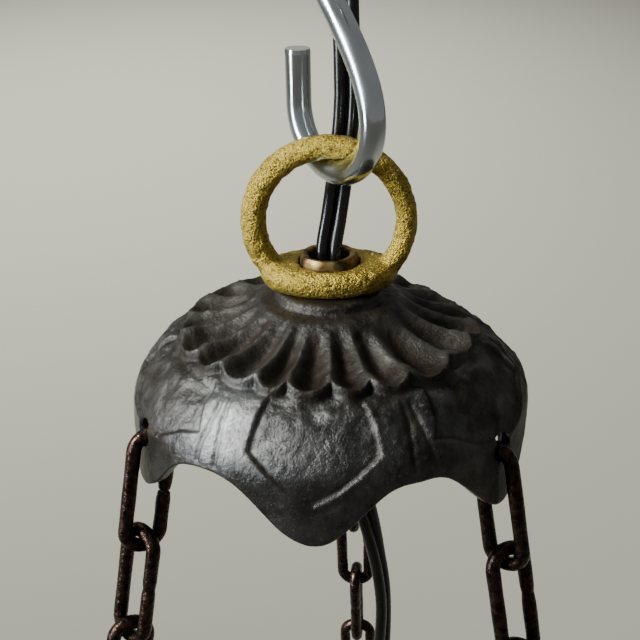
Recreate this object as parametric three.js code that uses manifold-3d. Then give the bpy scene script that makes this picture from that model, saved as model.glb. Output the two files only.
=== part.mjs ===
// Hanging lamp on three chains: ceiling plate and hook, S-hook, cast crown with its ring loop,
// chains of long oval links, gallery ring, lampholder on a bridge, and a blown glass bowl.
// Millimetres, +Z up. The origin is the middle of the ceiling plate's top face.
import * as THREE from 'three';
import { mergeVertices } from 'three/addons/utils/BufferGeometryUtils.js';
import Module from 'manifold-3d';

const wasm = await Module();
wasm.setup();

// Driving dimensions
const gap = 0.3;               // air between pieces that touch on the real lamp
const turn = (degrees) => THREE.MathUtils.degToRad(degrees);

const ceilingPlate = { radius: 31, thickness: 3, bossRadius: 7, bossDepth: 9, bossFloor: 1.2 };
const plateScrew = { spacing: 44, holeRadius: 2.3, sinkRadius: 4.4, sinkDepth: 2.1 };
const ceilingHook = { wire: 2.5, bend: 8, drop: 21, start: 52, sweep: 262 };
const hookNut = { acrossFlats: 10, height: 4 };
const gland = { x: 1.5, y: 16, threadRadius: 4.9, flangeFlats: 13, flangeHeight: 3.5 };
const glandNut = { height: 9, topRadius: 7, tipRadius: 5 };
const flex = { width: 4.6, thickness: 2.2, bore: 2.9 };

const sHook = { wire: 2.2, bend: 10, length: 35.4, shank: 18, lowerTip: 10.5, upperTip: 8 };
const hookFacing = turn(-52.5);  // the S-hook's plane, turned from the ring's plane

const ring = { wire: 2, outer: 15.17, centre: 14.44, hookOffset: 1.25, hookClear: 0.3, footBottom: 2.6, footTop: 7.2 };
const ringFoot = { topHalfLength: 12.2, topHalfWidth: 7.7, bottomHalfLength: 9.6 };
const topNipple = { radius: 5.15, bore: 3.55, proud: 2, tail: 8 };
const washer = { radius: 10, thickness: 1.2 };
const lockNut = { acrossFlats: 15, height: 3.5 };

const crown = { seatRadius: 9, roof: 3.6, skirtTop: -16, skirtRadius: 35.3, skirtFlare: 4, wall: 2 };
const crownTurn = turn(-4.7);  // how far the crown hangs turned under the ring
const flutes = { count: 20, depth: 1.6, lip: 1.3, inner: 12.5, outer: 26.4 };
const lobes = { count: 6, arch: -16.8, plainDrop: 10, chainDrop: 10.8, sharpness: 1.4 };
const chainHole = { radius: 2.4, height: -18.15 };
const holeDrift = { left: 0.2, right: -2.1, back: -1.2 };   // each hole's place, in degrees off its lobe

const link = { wire: 1.3, width: 9, pitch: 19.4 };
const chain = { links: 10, lipClear: 0.45, earClear: 0.8 };
const secondLinkTurn = { left: -64, right: 64, back: 90 };

const gallery = { outer: 73, width: 12.5, thickness: 3 };
const ear = { thickness: 2, halfWidth: 4.5, holeRadius: 2.9, crest: 3, standoff: 6, inset: 3.1 };
const bowl = { lipInset: 8.2, lipWidth: 4.7, lipThickness: 3.2, bodyRadius: 58, depth: 152, wall: 2.8 };
const bridge = { hubRadius: 13, armWidth: 10, thickness: 2.2, lipClear: 1.2, edgeInset: 2 };
const bridgeScrew = { shank: 1.5, length: 8.4, headRadius: 2.7, headHeight: 1.8, hole: 1.8 };

const holder = { radius: 14, wall: 1, capHeight: 12, shellHeight: 43 };
const holderNipple = { radius: 5, bore: 3.5, above: 12, below: 7 };
const bridgeNut = { acrossFlats: 14, height: 3.5 };
const cordBush = { radius: 7, tipRadius: 4.4, height: 14, skirt: 4 };
const core = { radius: 12.4, height: 12, bore: 2.6 };
const lampScrew = { radius: 6.9, wall: 0.4, height: 20 };
const bulb = { radius: 22.5, length: 78, neck: 8.4, wall: 0.9 };

// Heights of the hanging pieces, each from the piece that carries it
const bossBottom = -ceilingPlate.thickness - ceilingPlate.bossDepth;
const hookBendZ = bossBottom - ceilingHook.drop;
const hookPivotZ = hookBendZ - ceilingHook.bend;
const sHookTopZ = hookPivotZ + ceilingHook.wire + gap + sHook.wire;
const upperBendZ = sHookTopZ - sHook.bend;
const lowerBendZ = upperBendZ - sHook.length;
const crownPivotZ = lowerBendZ - sHook.bend;
const ringMiddle = ring.outer - ring.wire;
const ringInside = Math.sqrt((ringMiddle - ring.wire) ** 2 - ring.hookOffset ** 2);  // height of its inside there
const ringCentreZ = crownPivotZ + sHook.wire + gap + ring.hookClear - ringInside;
const crownZ = ringCentreZ - ring.centre;        // zero of the crown's own heights

// Shape helpers
function bodyOf(geometry) {
  const bare = geometry.index ? geometry.clone() : geometry;
  bare.deleteAttribute('normal');
  bare.deleteAttribute('uv');
  const merged = mergeVertices(bare, 1e-4);
  const corners = merged.index.array;
  const points = merged.attributes.position;
  const a = new THREE.Vector3();
  const b = new THREE.Vector3();
  const c = new THREE.Vector3();
  const faces = [];
  let volume = 0;
  for (let i = 0; i < corners.length; i += 3) {
    const face = [corners[i], corners[i + 1], corners[i + 2]];
    if (face[0] === face[1] || face[1] === face[2] || face[2] === face[0]) continue;
    a.fromBufferAttribute(points, face[0]);
    b.fromBufferAttribute(points, face[1]);
    c.fromBufferAttribute(points, face[2]);
    volume += a.dot(b.cross(c));
    faces.push(face);
  }
  const outward = volume > 0 ? faces : faces.map(([p, q, r]) => [p, r, q]);
  return new wasm.Manifold(new wasm.Mesh({
    numProp: 3,
    vertProperties: new Float32Array(points.array),
    triVerts: new Uint32Array(outward.flat()),
  }));
}

function geometryOf(body) {
  const mesh = body.getMesh();
  const geometry = new THREE.BufferGeometry();
  geometry.setAttribute('position', new THREE.BufferAttribute(Float32Array.from(mesh.vertProperties), 3));
  geometry.setIndex(new THREE.BufferAttribute(Uint32Array.from(mesh.triVerts), 1));
  geometry.computeVertexNormals();
  return geometry;
}

// A disc or tube standing on Z, from z = low to z = high
function drum(radius, low, high, sides = 32, topRadius = radius) {
  const geometry = new THREE.CylinderGeometry(topRadius, radius, high - low, sides);
  return bodyOf(geometry.rotateX(Math.PI / 2).translate(0, 0, (low + high) / 2));
}

function tube(radius, bore, low, high, sides = 32) {
  return drum(radius, low, high, sides).subtract(drum(bore, low - 1, high + 1, sides));
}

function hexagon(acrossFlats, low, high) {
  return drum(acrossFlats / Math.sqrt(3), low, high, 6);
}

// A closed profile of [radius, height] points turned round Z
function turned(profile, sides = 32) {
  const points = profile.map(([radius, height]) => new THREE.Vector2(radius, height));
  return bodyOf(new THREE.LatheGeometry(points, sides).rotateX(Math.PI / 2));
}

function plate(outline, low, thickness) {
  const geometry = new THREE.ExtrudeGeometry(outline, { depth: thickness, bevelEnabled: false, curveSegments: 16 });
  return bodyOf(geometry.translate(0, 0, low));
}

function roundSection(radius, sides) {
  const corners = [];
  for (let i = 0; i < sides; i++) {
    const angle = (i / sides) * 2 * Math.PI;
    corners.push(new THREE.Vector2(radius * Math.cos(angle), radius * Math.sin(angle)));
  }
  return new THREE.Shape(corners);
}

// Flat twin section: two round cores side by side, as one outline with round ends
function flatSection(width, thickness) {
  const half = thickness / 2;
  const reach = width / 2 - half;
  const corners = [];
  for (let i = 0; i < 4; i++) {
    const angle = -Math.PI / 2 + (i / 3) * Math.PI;
    corners.push(new THREE.Vector2(reach + half * Math.cos(angle), half * Math.sin(angle)));
  }
  for (let i = 0; i < 4; i++) {
    const angle = Math.PI / 2 + (i / 3) * Math.PI;
    corners.push(new THREE.Vector2(-reach + half * Math.cos(angle), half * Math.sin(angle)));
  }
  return new THREE.Shape(corners);
}

function swept(section, points, steps) {
  const route = new THREE.CatmullRomCurve3(points, false, 'centripetal');
  return bodyOf(new THREE.ExtrudeGeometry(section, { steps, extrudePath: route, bevelEnabled: false }));
}

function arc(centreX, centreZ, radius, from, to, count) {
  const points = [];
  for (let i = 0; i <= count; i++) {
    const angle = turn(from + ((to - from) * i) / count);
    points.push([centreX + radius * Math.cos(angle), centreZ + radius * Math.sin(angle)]);
  }
  return points;
}

// Places a flat drawing of [sideways, height] points in the upright plane that faces an angle
function upright(drawing, facing) {
  return drawing.map(([side, height]) => (
    new THREE.Vector3(side * Math.cos(facing), side * Math.sin(facing), height)
  ));
}

const finish = {
  zinc: { color: 0xb9bdc0, metalness: 1, roughness: 0.32 },
  gilt: { color: 0xa8892f, metalness: 0.8, roughness: 0.62 },
  brass: { color: 0x93794a, metalness: 1, roughness: 0.45 },
  castIron: { color: 0x2e2d2a, metalness: 0.6, roughness: 0.6 },
  bronze: { color: 0x35261c, metalness: 0.9, roughness: 0.42 },
  paint: { color: 0xd8d6cf, metalness: 0, roughness: 0.5 },
  blackPlastic: { color: 0x111113, metalness: 0, roughness: 0.28 },
  porcelain: { color: 0xe9e6dc, metalness: 0, roughness: 0.3 },
  glass: { color: 0xdfe8e2, metalness: 0, roughness: 0.05, transparent: true, opacity: 0.35 },
};

const lamp = new THREE.Group();

function piece(group, name, body, look) {
  const mesh = new THREE.Mesh(geometryOf(body), new THREE.MeshStandardMaterial(finish[look]));
  mesh.name = name;
  group.add(mesh);
  return mesh;
}

// Ceiling plate: a disc with two countersunk holes, a tapped boss for the hook and a hole for the gland
function makeCeilingPlate() {
  const { radius, thickness, bossRadius, bossDepth, bossFloor } = ceilingPlate;
  let body = drum(radius, -thickness, 0, 40).add(drum(bossRadius, bossBottom, -thickness / 2, 24));
  body = body.subtract(drum(ceilingHook.wire + gap, bossBottom - 1, -thickness - bossFloor, 16));
  for (const side of [-1, 1]) {
    const hole = drum(plateScrew.holeRadius, -thickness - 1, 1, 12);
    const sink = drum(plateScrew.sinkRadius + 0.2, -thickness - 0.2, -thickness + plateScrew.sinkDepth, 12,
      plateScrew.holeRadius);
    body = body.subtract(hole.add(sink).translate([(side * plateScrew.spacing) / 2, 0, 0]));
  }
  const glandHole = drum(gland.threadRadius + gap, -thickness - bossDepth, 1, 24);
  return body.subtract(glandHole.translate([gland.x, gland.y, 0]));
}

// Ceiling hook: round wire, straight in the boss, then an open bend in the plane square to the S-hook
function makeCeilingHook() {
  const shankTop = -ceilingPlate.thickness - ceilingPlate.bossFloor - gap;
  const shankFoot = bossBottom - hookNut.height - 3;
  const drawing = [[0, shankTop], [0, bossBottom], [0, bossBottom - hookNut.height], [0, shankFoot]];
  drawing.push(...arc(0, hookBendZ, ceilingHook.bend, ceilingHook.start, ceilingHook.start - ceilingHook.sweep, 14));
  return swept(roundSection(ceilingHook.wire, 10), upright(drawing, hookFacing - Math.PI / 2), 24);
}

function makeHookNut() {
  const top = bossBottom - gap;
  return hexagon(hookNut.acrossFlats, top - hookNut.height, top)
    .subtract(drum(ceilingHook.wire + gap, top - hookNut.height - 1, top + 1, 12));
}

const glandFlangeTop = -ceilingPlate.thickness - gap;
const glandFlangeBottom = glandFlangeTop - gland.flangeHeight;
const glandThreadTop = -0.4;

function makeCordGland() {
  return hexagon(gland.flangeFlats, glandFlangeBottom, glandFlangeTop)
    .add(drum(gland.threadRadius, glandFlangeTop - 1, glandThreadTop, 24))
    .subtract(drum(flex.bore, glandFlangeBottom - 1, 1, 20));
}

function makeGlandNut() {
  const top = glandFlangeBottom - gap;
  const { height, topRadius, tipRadius } = glandNut;
  return turned([
    [flex.bore, top], [topRadius, top], [topRadius, top - height * 0.6], [tipRadius, top - height],
    [flex.bore, top - height], [flex.bore, top],
  ], 24);
}

// S-hook: one round wire, two bends and a slanting shank
function makeSHook() {
  const { bend, length, shank, lowerTip, upperTip } = sHook;
  const drawing = [[-bend, lowerBendZ + lowerTip], [-bend, lowerBendZ + lowerTip / 2]];
  drawing.push(...arc(0, lowerBendZ, bend, 180, 360, 10));
  const slant = new THREE.CubicBezierCurve(
    new THREE.Vector2(bend, lowerBendZ), new THREE.Vector2(bend, lowerBendZ + shank),
    new THREE.Vector2(-bend, upperBendZ - length + (length - shank)), new THREE.Vector2(-bend, upperBendZ),
  );
  for (const share of [0.2, 0.4, 0.6, 0.8]) {
    const point = slant.getPoint(share);
    drawing.push([point.x, point.y]);
  }
  drawing.push(...arc(0, upperBendZ, bend, 180, 0, 10));
  drawing.push([bend, upperBendZ - upperTip]);
  return swept(roundSection(sHook.wire, 10), upright(drawing, hookFacing), 40);
}

// Ring loop: a cast ring whose foot widens into an oval boss bored for the nipple
function makeRingLoop() {
  const { wire, outer, footBottom, footTop } = ring;
  const { topHalfLength, topHalfWidth, bottomHalfLength } = ringFoot;
  const hoop = bodyOf(new THREE.TorusGeometry(ringMiddle, wire, 10, 40).rotateX(Math.PI / 2));
  const foot = drum(bottomHalfLength, footBottom, footTop, 32, topHalfLength)
    .scale([1, topHalfWidth / topHalfLength, 1]);
  const below = drum(outer, -outer, footBottom, 8);
  return hoop.translate([0, 0, ring.centre]).add(foot).subtract(below)
    .subtract(drum(topNipple.radius + gap, 0, footTop + 1, 32));
}

function makeTopNipple() {
  return tube(topNipple.radius, topNipple.bore, -topNipple.tail, ring.footTop + topNipple.proud, 32);
}

// Crown: a dome of shell flutes over a plain skirt that ends in six lobes, three of them bored for chains
const lobeAngle = -Math.PI / 2 + crownTurn;
const seatZ = ring.footBottom - gap;
const roofZ = seatZ - crown.roof;

function fluteValley(angle) {
  return Math.abs(Math.cos(((angle - lobeAngle) * flutes.count) / 2));
}

function skirtRadius(z) {
  return crown.skirtRadius + Math.max(0, crown.skirtTop - z) * Math.tan(turn(crown.skirtFlare));
}

function hemZ(angle) {
  const wave = 0.5 + 0.5 * Math.cos(lobes.count * (angle - lobeAngle));
  const chainLobe = 0.5 - 0.5 * Math.cos((lobes.count / 2) * (angle - lobeAngle));
  const drop = lobes.plainDrop + (lobes.chainDrop - lobes.plainDrop) * chainLobe;
  return lobes.arch - drop * wave ** lobes.sharpness;
}

function crownRows(angle) {
  const valley = fluteValley(angle);
  const dip = flutes.depth * valley;
  const lip = flutes.outer - flutes.lip * (1 - valley);
  const hem = hemZ(angle);
  const bore = topNipple.radius + gap;
  const { seatRadius, skirtRadius: skirt, skirtTop, wall } = crown;
  const { inner, outer } = flutes;
  const scoop = (share) => inner + (outer - inner) * share;      // out along the flutes
  const rim = (share) => outer + (skirt - outer) * share;        // out from the flutes' lips to the skirt
  const inside = (share) => bore + (skirt - wall - bore) * share;  // out along the hollow
  return [
    [bore, seatZ], [seatRadius, seatZ], [seatRadius + (inner - seatRadius) * 0.17, skirtTop * -0.05],
    [inner, skirtTop * -0.006], [scoop(0.25), skirtTop * 0.112 - dip * 0.4],
    [scoop(0.54), skirtTop * 0.2 - dip * 0.8], [scoop(0.83), skirtTop * 0.2 - dip],
    [lip, skirtTop * 0.206 - dip * 0.3], [lip + 0.3, skirtTop * 0.35],
    [rim(0.247), skirtTop * 0.428], [rim(0.618), skirtTop * 0.625], [rim(0.876), skirtTop * 0.8125],
    [skirt, skirtTop], [skirtRadius(hem), hem],
    [skirtRadius(hem) - wall, hem], [skirt - wall, skirtTop],
    [inside(0.853), skirtTop * 0.7], [inside(0.7), skirtTop * 0.5125], [inside(0.5), skirtTop * 0.4125],
    [inside(0.199), roofZ], [bore, roofZ],
  ];
}

function makeCrownCap() {
  const around = flutes.count * 4;
  const positions = [];
  for (let i = 0; i < around; i++) {
    const angle = lobeAngle + (i / around) * 2 * Math.PI;
    for (const [radius, z] of crownRows(angle)) {
      positions.push(radius * Math.cos(angle), radius * Math.sin(angle), z);
    }
  }
  const rows = positions.length / 3 / around;
  const faces = [];
  for (let i = 0; i < around; i++) {
    const here = i * rows;
    const next = ((i + 1) % around) * rows;
    for (let j = 0; j < rows; j++) {
      const k = (j + 1) % rows;
      faces.push(here + j, next + k, next + j, here + j, here + k, next + k);
    }
  }
  const shell = new THREE.BufferGeometry();
  shell.setAttribute('position', new THREE.Float32BufferAttribute(positions, 3));
  shell.setIndex(faces);
  let body = bodyOf(shell);
  for (const angle of Object.values(chainAngles)) {
    const drill = new THREE.CylinderGeometry(chainHole.radius, chainHole.radius, 12, 12);
    drill.rotateZ(Math.PI / 2).translate(crown.skirtRadius, 0, chainHole.height);
    body = body.subtract(bodyOf(drill.rotateZ(angle)));
  }
  return body;
}

const chainAngles = {
  left: lobeAngle - Math.PI / 3 + turn(holeDrift.left),
  right: lobeAngle + Math.PI / 3 + turn(holeDrift.right),
  back: lobeAngle + Math.PI + turn(holeDrift.back),
};

const washerTop = roofZ - gap;
const lockNutTop = washerTop - washer.thickness - gap;

function makeCrownWasher() {
  return tube(washer.radius, topNipple.radius + gap, washerTop - washer.thickness, washerTop, 28);
}

function makeCrownLockNut() {
  return hexagon(lockNut.acrossFlats, lockNutTop - lockNut.height, lockNutTop)
    .subtract(drum(topNipple.radius + gap, lockNutTop - lockNut.height - 1, lockNutTop + 1, 24));
}

// Chains: long oval links, each through the next, running out and down from the crown
const linkEnd = link.width / 2 - link.wire;                     // middle of the wire at a link's round end
const linkStraight = link.pitch + gap - 2 * (linkEnd - link.wire);
const lipZ = chainHole.height - chainHole.radius;               // lower edge of the crown's hole
const hangRadius = skirtRadius(lipZ) - crown.wall / 2;
const eyeRadius = gallery.outer - ear.inset;                    // where the last link passes through its ear
const chainLength = linkStraight + (chain.links - 1) * link.pitch + linkEnd;
const spread = Math.asin((eyeRadius - hangRadius) / chainLength);  // each chain's slope away from upright
const hangZ = lipZ + chain.lipClear - (linkEnd - link.wire) * Math.cos(spread);
const along = (distance) => [hangRadius + distance * Math.sin(spread), hangZ - distance * Math.cos(spread)];
const eyeZ = along(chainLength)[1];

function makeLink() {
  const steps = 8;
  const sides = 6;
  const bend = linkEnd / Math.cos(Math.PI / steps);
  const geometry = new THREE.TorusGeometry(bend, link.wire, sides, steps).rotateZ(Math.PI / steps);
  const points = geometry.attributes.position;
  for (let i = 0; i < points.count; i++) {
    const y = points.getY(i);
    points.setY(i, y + (Math.sign(y) * linkStraight) / 2);
  }
  return bodyOf(geometry.rotateX(Math.PI / 2));
}

function addChain(side, group) {
  const angle = chainAngles[side];
  for (let i = 0; i < chain.links; i++) {
    const [radius, z] = along(linkStraight / 2 + i * link.pitch);
    let twist = 0;
    if (i % 2 === 1) twist = i === 1 ? secondLinkTurn[side] : 90;
    const mesh = piece(group, `${side}_link_${String(i + 1).padStart(2, '0')}`, makeLink(), 'bronze');
    mesh.position.set(radius * Math.cos(angle), radius * Math.sin(angle), z);
    const place = new THREE.Matrix4().makeRotationZ(angle)
      .multiply(new THREE.Matrix4().makeRotationY(-spread))
      .multiply(new THREE.Matrix4().makeRotationZ(turn(twist)));
    mesh.setRotationFromMatrix(place);
  }
}

// Gallery ring: a flat ring with three upright ears, each through the last link of a chain
const earTop = eyeZ + link.wire + chain.earClear + ear.crest;
const earHoleZ = eyeZ + link.wire + chain.earClear - ear.holeRadius;
const galleryTop = eyeZ - ear.standoff;
const bridgeBottom = galleryTop + gap + bowl.lipThickness + gap;
const bridgeTop = bridgeBottom + bridge.thickness;
const armAngles = [0, 1, 2].map((i) => lobeAngle + (i * 2 * Math.PI) / 3);

function makeGalleryRing() {
  const { outer, width, thickness } = gallery;
  let body = tube(outer, outer - width, galleryTop - thickness, galleryTop, 48);
  for (const angle of Object.values(chainAngles)) {
    const face = new THREE.Shape();
    face.moveTo(-ear.halfWidth, -thickness / 2);
    face.lineTo(ear.halfWidth, -thickness / 2);
    face.lineTo(ear.halfWidth, earTop - galleryTop - ear.halfWidth);
    face.absarc(0, earTop - galleryTop - ear.halfWidth, ear.halfWidth, 0, Math.PI);
    const hole = new THREE.Path().absarc(0, earHoleZ - galleryTop, ear.holeRadius, 0, 2 * Math.PI);
    face.holes.push(hole);
    const solid = new THREE.ExtrudeGeometry(face, { depth: ear.thickness, bevelEnabled: false, curveSegments: 8 });
    solid.translate(0, 0, -ear.thickness / 2).rotateX(Math.PI / 2).translate(eyeRadius, 0, galleryTop);
    body = body.add(bodyOf(solid.rotateZ(angle)));
  }
  for (const angle of armAngles) body = body.subtract(screwHole(angle));
  return body;
}

const lipRadius = gallery.outer - bowl.lipInset;                // outer edge of the glass lip
const footInner = lipRadius + bridge.lipClear;
const footOuter = gallery.outer - bridge.edgeInset;
const footMiddle = (footInner + footOuter) / 2;

function screwHole(angle) {
  const hole = drum(bridgeScrew.hole, galleryTop - gallery.thickness - 1, bridgeTop + 1, 10);
  return hole.translate([footMiddle * Math.cos(angle), footMiddle * Math.sin(angle), 0]);
}

// Bridge: a hub for the lampholder with three arms that reach over the glass lip to the gallery ring
function makeLampBridge() {
  const { hubRadius, armWidth, thickness } = bridge;
  let body = drum(hubRadius, bridgeBottom, bridgeTop, 32);
  for (const angle of armAngles) {
    const arm = new THREE.BoxGeometry(footOuter, armWidth, thickness)
      .translate(footOuter / 2, 0, (bridgeBottom + bridgeTop) / 2);
    const footHeight = bridgeTop - galleryTop - gap;
    const foot = new THREE.BoxGeometry(footOuter - footInner, armWidth, footHeight)
      .translate(footMiddle, 0, bridgeTop - footHeight / 2);
    body = body.add(bodyOf(arm.rotateZ(angle))).add(bodyOf(foot.rotateZ(angle)));
  }
  for (const angle of armAngles) body = body.subtract(screwHole(angle));
  return body.subtract(drum(holderNipple.radius + gap, bridgeBottom - 1, bridgeTop + 1, 24));
}

function makeBridgeScrew() {
  const { shank, length, headRadius, headHeight } = bridgeScrew;
  const seat = bridgeTop + gap;
  return turned([
    [0, seat - length], [shank, seat - length], [shank, seat], [headRadius, seat],
    [headRadius, seat + headHeight * 0.5], [headRadius * 0.6, seat + headHeight], [0, seat + headHeight],
  ], 12);
}

// Glass bowl: blown, with a flat ground lip on the gallery ring, a waist, a full body and a drop foot.
// Its outline is given as shares of the body's radius and of the depth, from the foot up.
const bowlFoot = [[0, 1], [0.076, 0.993], [0.126, 0.964], [0.093, 0.921]];
const bowlBody = [
  [0.147, 0.9], [0.414, 0.865], [0.69, 0.783], [0.905, 0.651], [1, 0.5], [0.976, 0.355],
  [0.897, 0.237], [0.89, 0.145], [0.941, 0.066],
];

function makeGlassBowl() {
  const lipBottom = galleryTop + gap;
  const lipTop = lipBottom + bowl.lipThickness;
  const throat = lipRadius - bowl.lipWidth;
  const place = ([radius, depth]) => new THREE.Vector2(radius * bowl.bodyRadius, lipBottom - depth * bowl.depth);
  const wall = [...bowlBody.map(place), new THREE.Vector2(throat, lipBottom)];
  const inner = wall.map((point, i) => {
    const along = new THREE.Vector2().subVectors(wall[Math.min(i + 1, wall.length - 1)], wall[Math.max(i - 1, 0)]);
    return new THREE.Vector2(-along.y, along.x).normalize().multiplyScalar(bowl.wall).add(point);
  });
  const points = [...bowlFoot.map(place), ...wall];
  const edge = bowl.lipThickness / 4;
  points.push(
    new THREE.Vector2(lipRadius - edge, lipBottom), new THREE.Vector2(lipRadius, (lipBottom + lipTop) / 2),
    new THREE.Vector2(lipRadius - edge, lipTop), new THREE.Vector2(throat + edge, lipTop),
  );
  points.push(...inner.reverse(), new THREE.Vector2(0, inner[inner.length - 1].y));
  return turned(points.map((point) => [point.x, point.y]), 32);
}

// Lampholder: nipple, nut and cord bush over the bridge, cap and shell under it, core and contacts inside
const capTop = bridgeBottom - gap;
const capBottom = capTop - holder.capHeight;
const shellTop = capBottom - gap;
const shellBottom = shellTop - holder.shellHeight;
const nippleTop = bridgeTop + holderNipple.above;
const bridgeNutBottom = bridgeTop + gap;
const bushBottom = bridgeNutBottom + bridgeNut.height + gap;
const bushTop = bushBottom + cordBush.height;

function makeHolderNipple() {
  return tube(holderNipple.radius, holderNipple.bore, capTop - holderNipple.below, nippleTop, 24);
}

function makeBridgeNut() {
  return hexagon(bridgeNut.acrossFlats, bridgeNutBottom, bridgeNutBottom + bridgeNut.height)
    .subtract(drum(holderNipple.radius + gap, bridgeNutBottom - 1, bridgeNutBottom + bridgeNut.height + 1, 24));
}

function makeCordBush() {
  const { radius, tipRadius, skirt } = cordBush;
  const socket = holderNipple.radius + gap;
  return turned([
    [socket, bushBottom], [radius, bushBottom], [radius, bushBottom + skirt * 2], [tipRadius, bushTop],
    [flex.bore, bushTop], [flex.bore, nippleTop + gap], [socket, nippleTop + gap], [socket, bushBottom],
  ], 24);
}

function makeHolderCap() {
  const bore = holderNipple.radius + gap;
  const { radius, wall } = holder;
  const neck = bore + 3.4;
  return turned([
    [bore, capTop], [neck, capTop], [neck + 1, capTop - 4], [radius - 3, capTop - 7], [radius, capBottom + 2],
    [radius, capBottom], [radius - wall, capBottom], [radius - wall, capBottom + 2],
    [radius - 4.4, capTop - 8], [neck - 1, capTop - 6], [bore, capTop - 6], [bore, capTop],
  ], 20);
}

function makeHolderShell() {
  const { radius, wall } = holder;
  return turned([
    [radius, shellTop], [radius, shellTop - 15], [radius - 0.6, shellTop - 16.5], [radius - 0.6, shellBottom + 2],
    [radius, shellBottom + 1], [radius, shellBottom], [radius - wall - 0.6, shellBottom],
    [radius - wall - 0.6, shellTop - 17], [radius - wall, shellTop - 15.5], [radius - wall, shellTop],
    [radius, shellTop],
  ], 20);
}

// The porcelain core sits under the cap, and its rim rests inside the shell
const coreTop = shellTop - 1;
const coreBottom = coreTop - core.height;

function makeHolderCore() {
  return tube(core.radius, core.bore, coreBottom, coreTop, 24);
}

// Screw socket of thin brass, and the sprung middle contact, both fixed to the core
const socketTop = coreBottom - gap;
const socketBottom = socketTop - lampScrew.height;
const contactTop = coreTop + 1;

function makeContactShell() {
  const { radius, wall } = lampScrew;
  const outside = radius + wall + gap;
  return turned([
    [3.6, socketTop], [outside, socketTop], [outside, socketBottom], [radius + gap, socketBottom],
    [radius + gap, socketTop - wall * 2], [3.6, socketTop - wall * 2], [3.6, socketTop],
  ], 24);
}

const tipTop = socketTop - 4.5;

function makeCentreContact() {
  const stem = core.bore - gap;
  return turned([
    [0, tipTop + gap], [1.8, tipTop + gap], [stem, tipTop + 2], [stem, contactTop], [0, contactTop],
  ], 16);
}

// Bulb: screw cap with its solder tip, and a clear envelope below it
const bulbCapBottom = socketBottom - 1.5;

function makeBulbCap() {
  const { radius } = lampScrew;
  const step = 0.8;
  const rings = [];
  for (let z = tipTop - 3; z > bulbCapBottom + 4; z -= 2.8) {
    rings.push([radius - step, z], [radius - 0.1, z - 1.4]);
  }
  return turned([
    [0, tipTop], [2.2, tipTop], [2.6, tipTop - 0.8], [5.2, tipTop - 2], ...rings,
    [radius - step, bulbCapBottom + 1.5], [radius - 0.2, bulbCapBottom], [0, bulbCapBottom],
  ], 16);
}

function makeBulbGlass() {
  const top = bulbCapBottom - gap;
  const bottom = tipTop - bulb.length;
  const middle = bottom + bulb.radius;
  const outside = arc(0, middle, bulb.radius, -90, 48, 8);
  outside.push([bulb.neck, top - 6], [bulb.neck - 2, top]);
  const inside = arc(0, middle, bulb.radius - bulb.wall, -90, 48, 8);
  inside.push([bulb.neck - bulb.wall, top - 6], [bulb.neck - 2 - bulb.wall, top]);
  return turned([...outside, ...inside.reverse()], 20);
}

// Flex: one flat twin cord in three stretches, from the ceiling gland through the nipple to the cord bush.
// Places are measured from the crown's axis, and heights over the crown's zero.
const glandX = gland.x + ring.hookOffset;
const flexRoutes = {
  upper: [
    [glandX, gland.y, -crownZ - 2], [glandX, gland.y, 108], [glandX, gland.y - 0.1, 98], [2.85, 14.8, 88],
    [2.95, 12.8, 77], [3.15, 10.4, 65], [3.25, 8.4, 52], [3.45, 7.2, 42], [3.5, 6.7, 35],
  ],
  middle: [
    [3.5, 6.6, 34.5], [3.2, 6.5, 30], [2.6, 6.2, 25], [1.9, 5.1, 20], [0.9, 2.8, 14], [0, 1.0, 9],
    [0, 0.2, 4], [0, 0, 0], [0, 0, -7.6],
  ],
  lower: [
    [0, 0, -8], [0, 0, -14], [0.6, 0.4, -22], [2.9, 1.4, -34], [6.0, 2.6, -45], [8.3, 3.4, -56],
    [9.9, 3.6, -68], [9.7, 3.2, -80], [8.2, 2.4, -94], [6.1, 1.4, -110], [3.8, 0.4, -127], [2.0, -0.2, -144],
    [0.8, -0.4, -160], [0.1, -0.2, -174], [0, 0, -186], [0, 0, nippleTop + gap + 0.4],
  ],
};

function makeFlex(route, steps) {
  const points = route.map(([x, y, z]) => new THREE.Vector3(x, y, z));
  return swept(flatSection(flex.width, flex.thickness), points, steps);
}

// The assembly, from the ceiling down
const hung = new THREE.Group();
hung.position.set(-ring.hookOffset, 0, crownZ);
lamp.add(hung);

piece(lamp, 'ceiling_plate', makeCeilingPlate(), 'paint');
piece(lamp, 'ceiling_hook', makeCeilingHook(), 'zinc');
piece(lamp, 'hook_locknut', makeHookNut(), 'zinc');
piece(lamp, 'cord_gland', makeCordGland().translate([gland.x, gland.y, 0]), 'blackPlastic');
piece(lamp, 'gland_nut', makeGlandNut().translate([gland.x, gland.y, 0]), 'blackPlastic');
piece(hung, 'flex_upper', makeFlex(flexRoutes.upper, 16), 'blackPlastic');
piece(lamp, 's_hook', makeSHook(), 'zinc');

piece(hung, 'ring_loop', makeRingLoop(), 'gilt');
piece(hung, 'top_nipple', makeTopNipple(), 'brass');
piece(hung, 'crown_cap', makeCrownCap(), 'castIron');
piece(hung, 'crown_washer', makeCrownWasher(), 'zinc');
piece(hung, 'crown_locknut', makeCrownLockNut(), 'brass');
piece(hung, 'flex_middle', makeFlex(flexRoutes.middle, 12), 'blackPlastic');
piece(hung, 'flex_lower', makeFlex(flexRoutes.lower, 26), 'blackPlastic');

for (const side of Object.keys(chainAngles)) addChain(side, hung);

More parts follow.
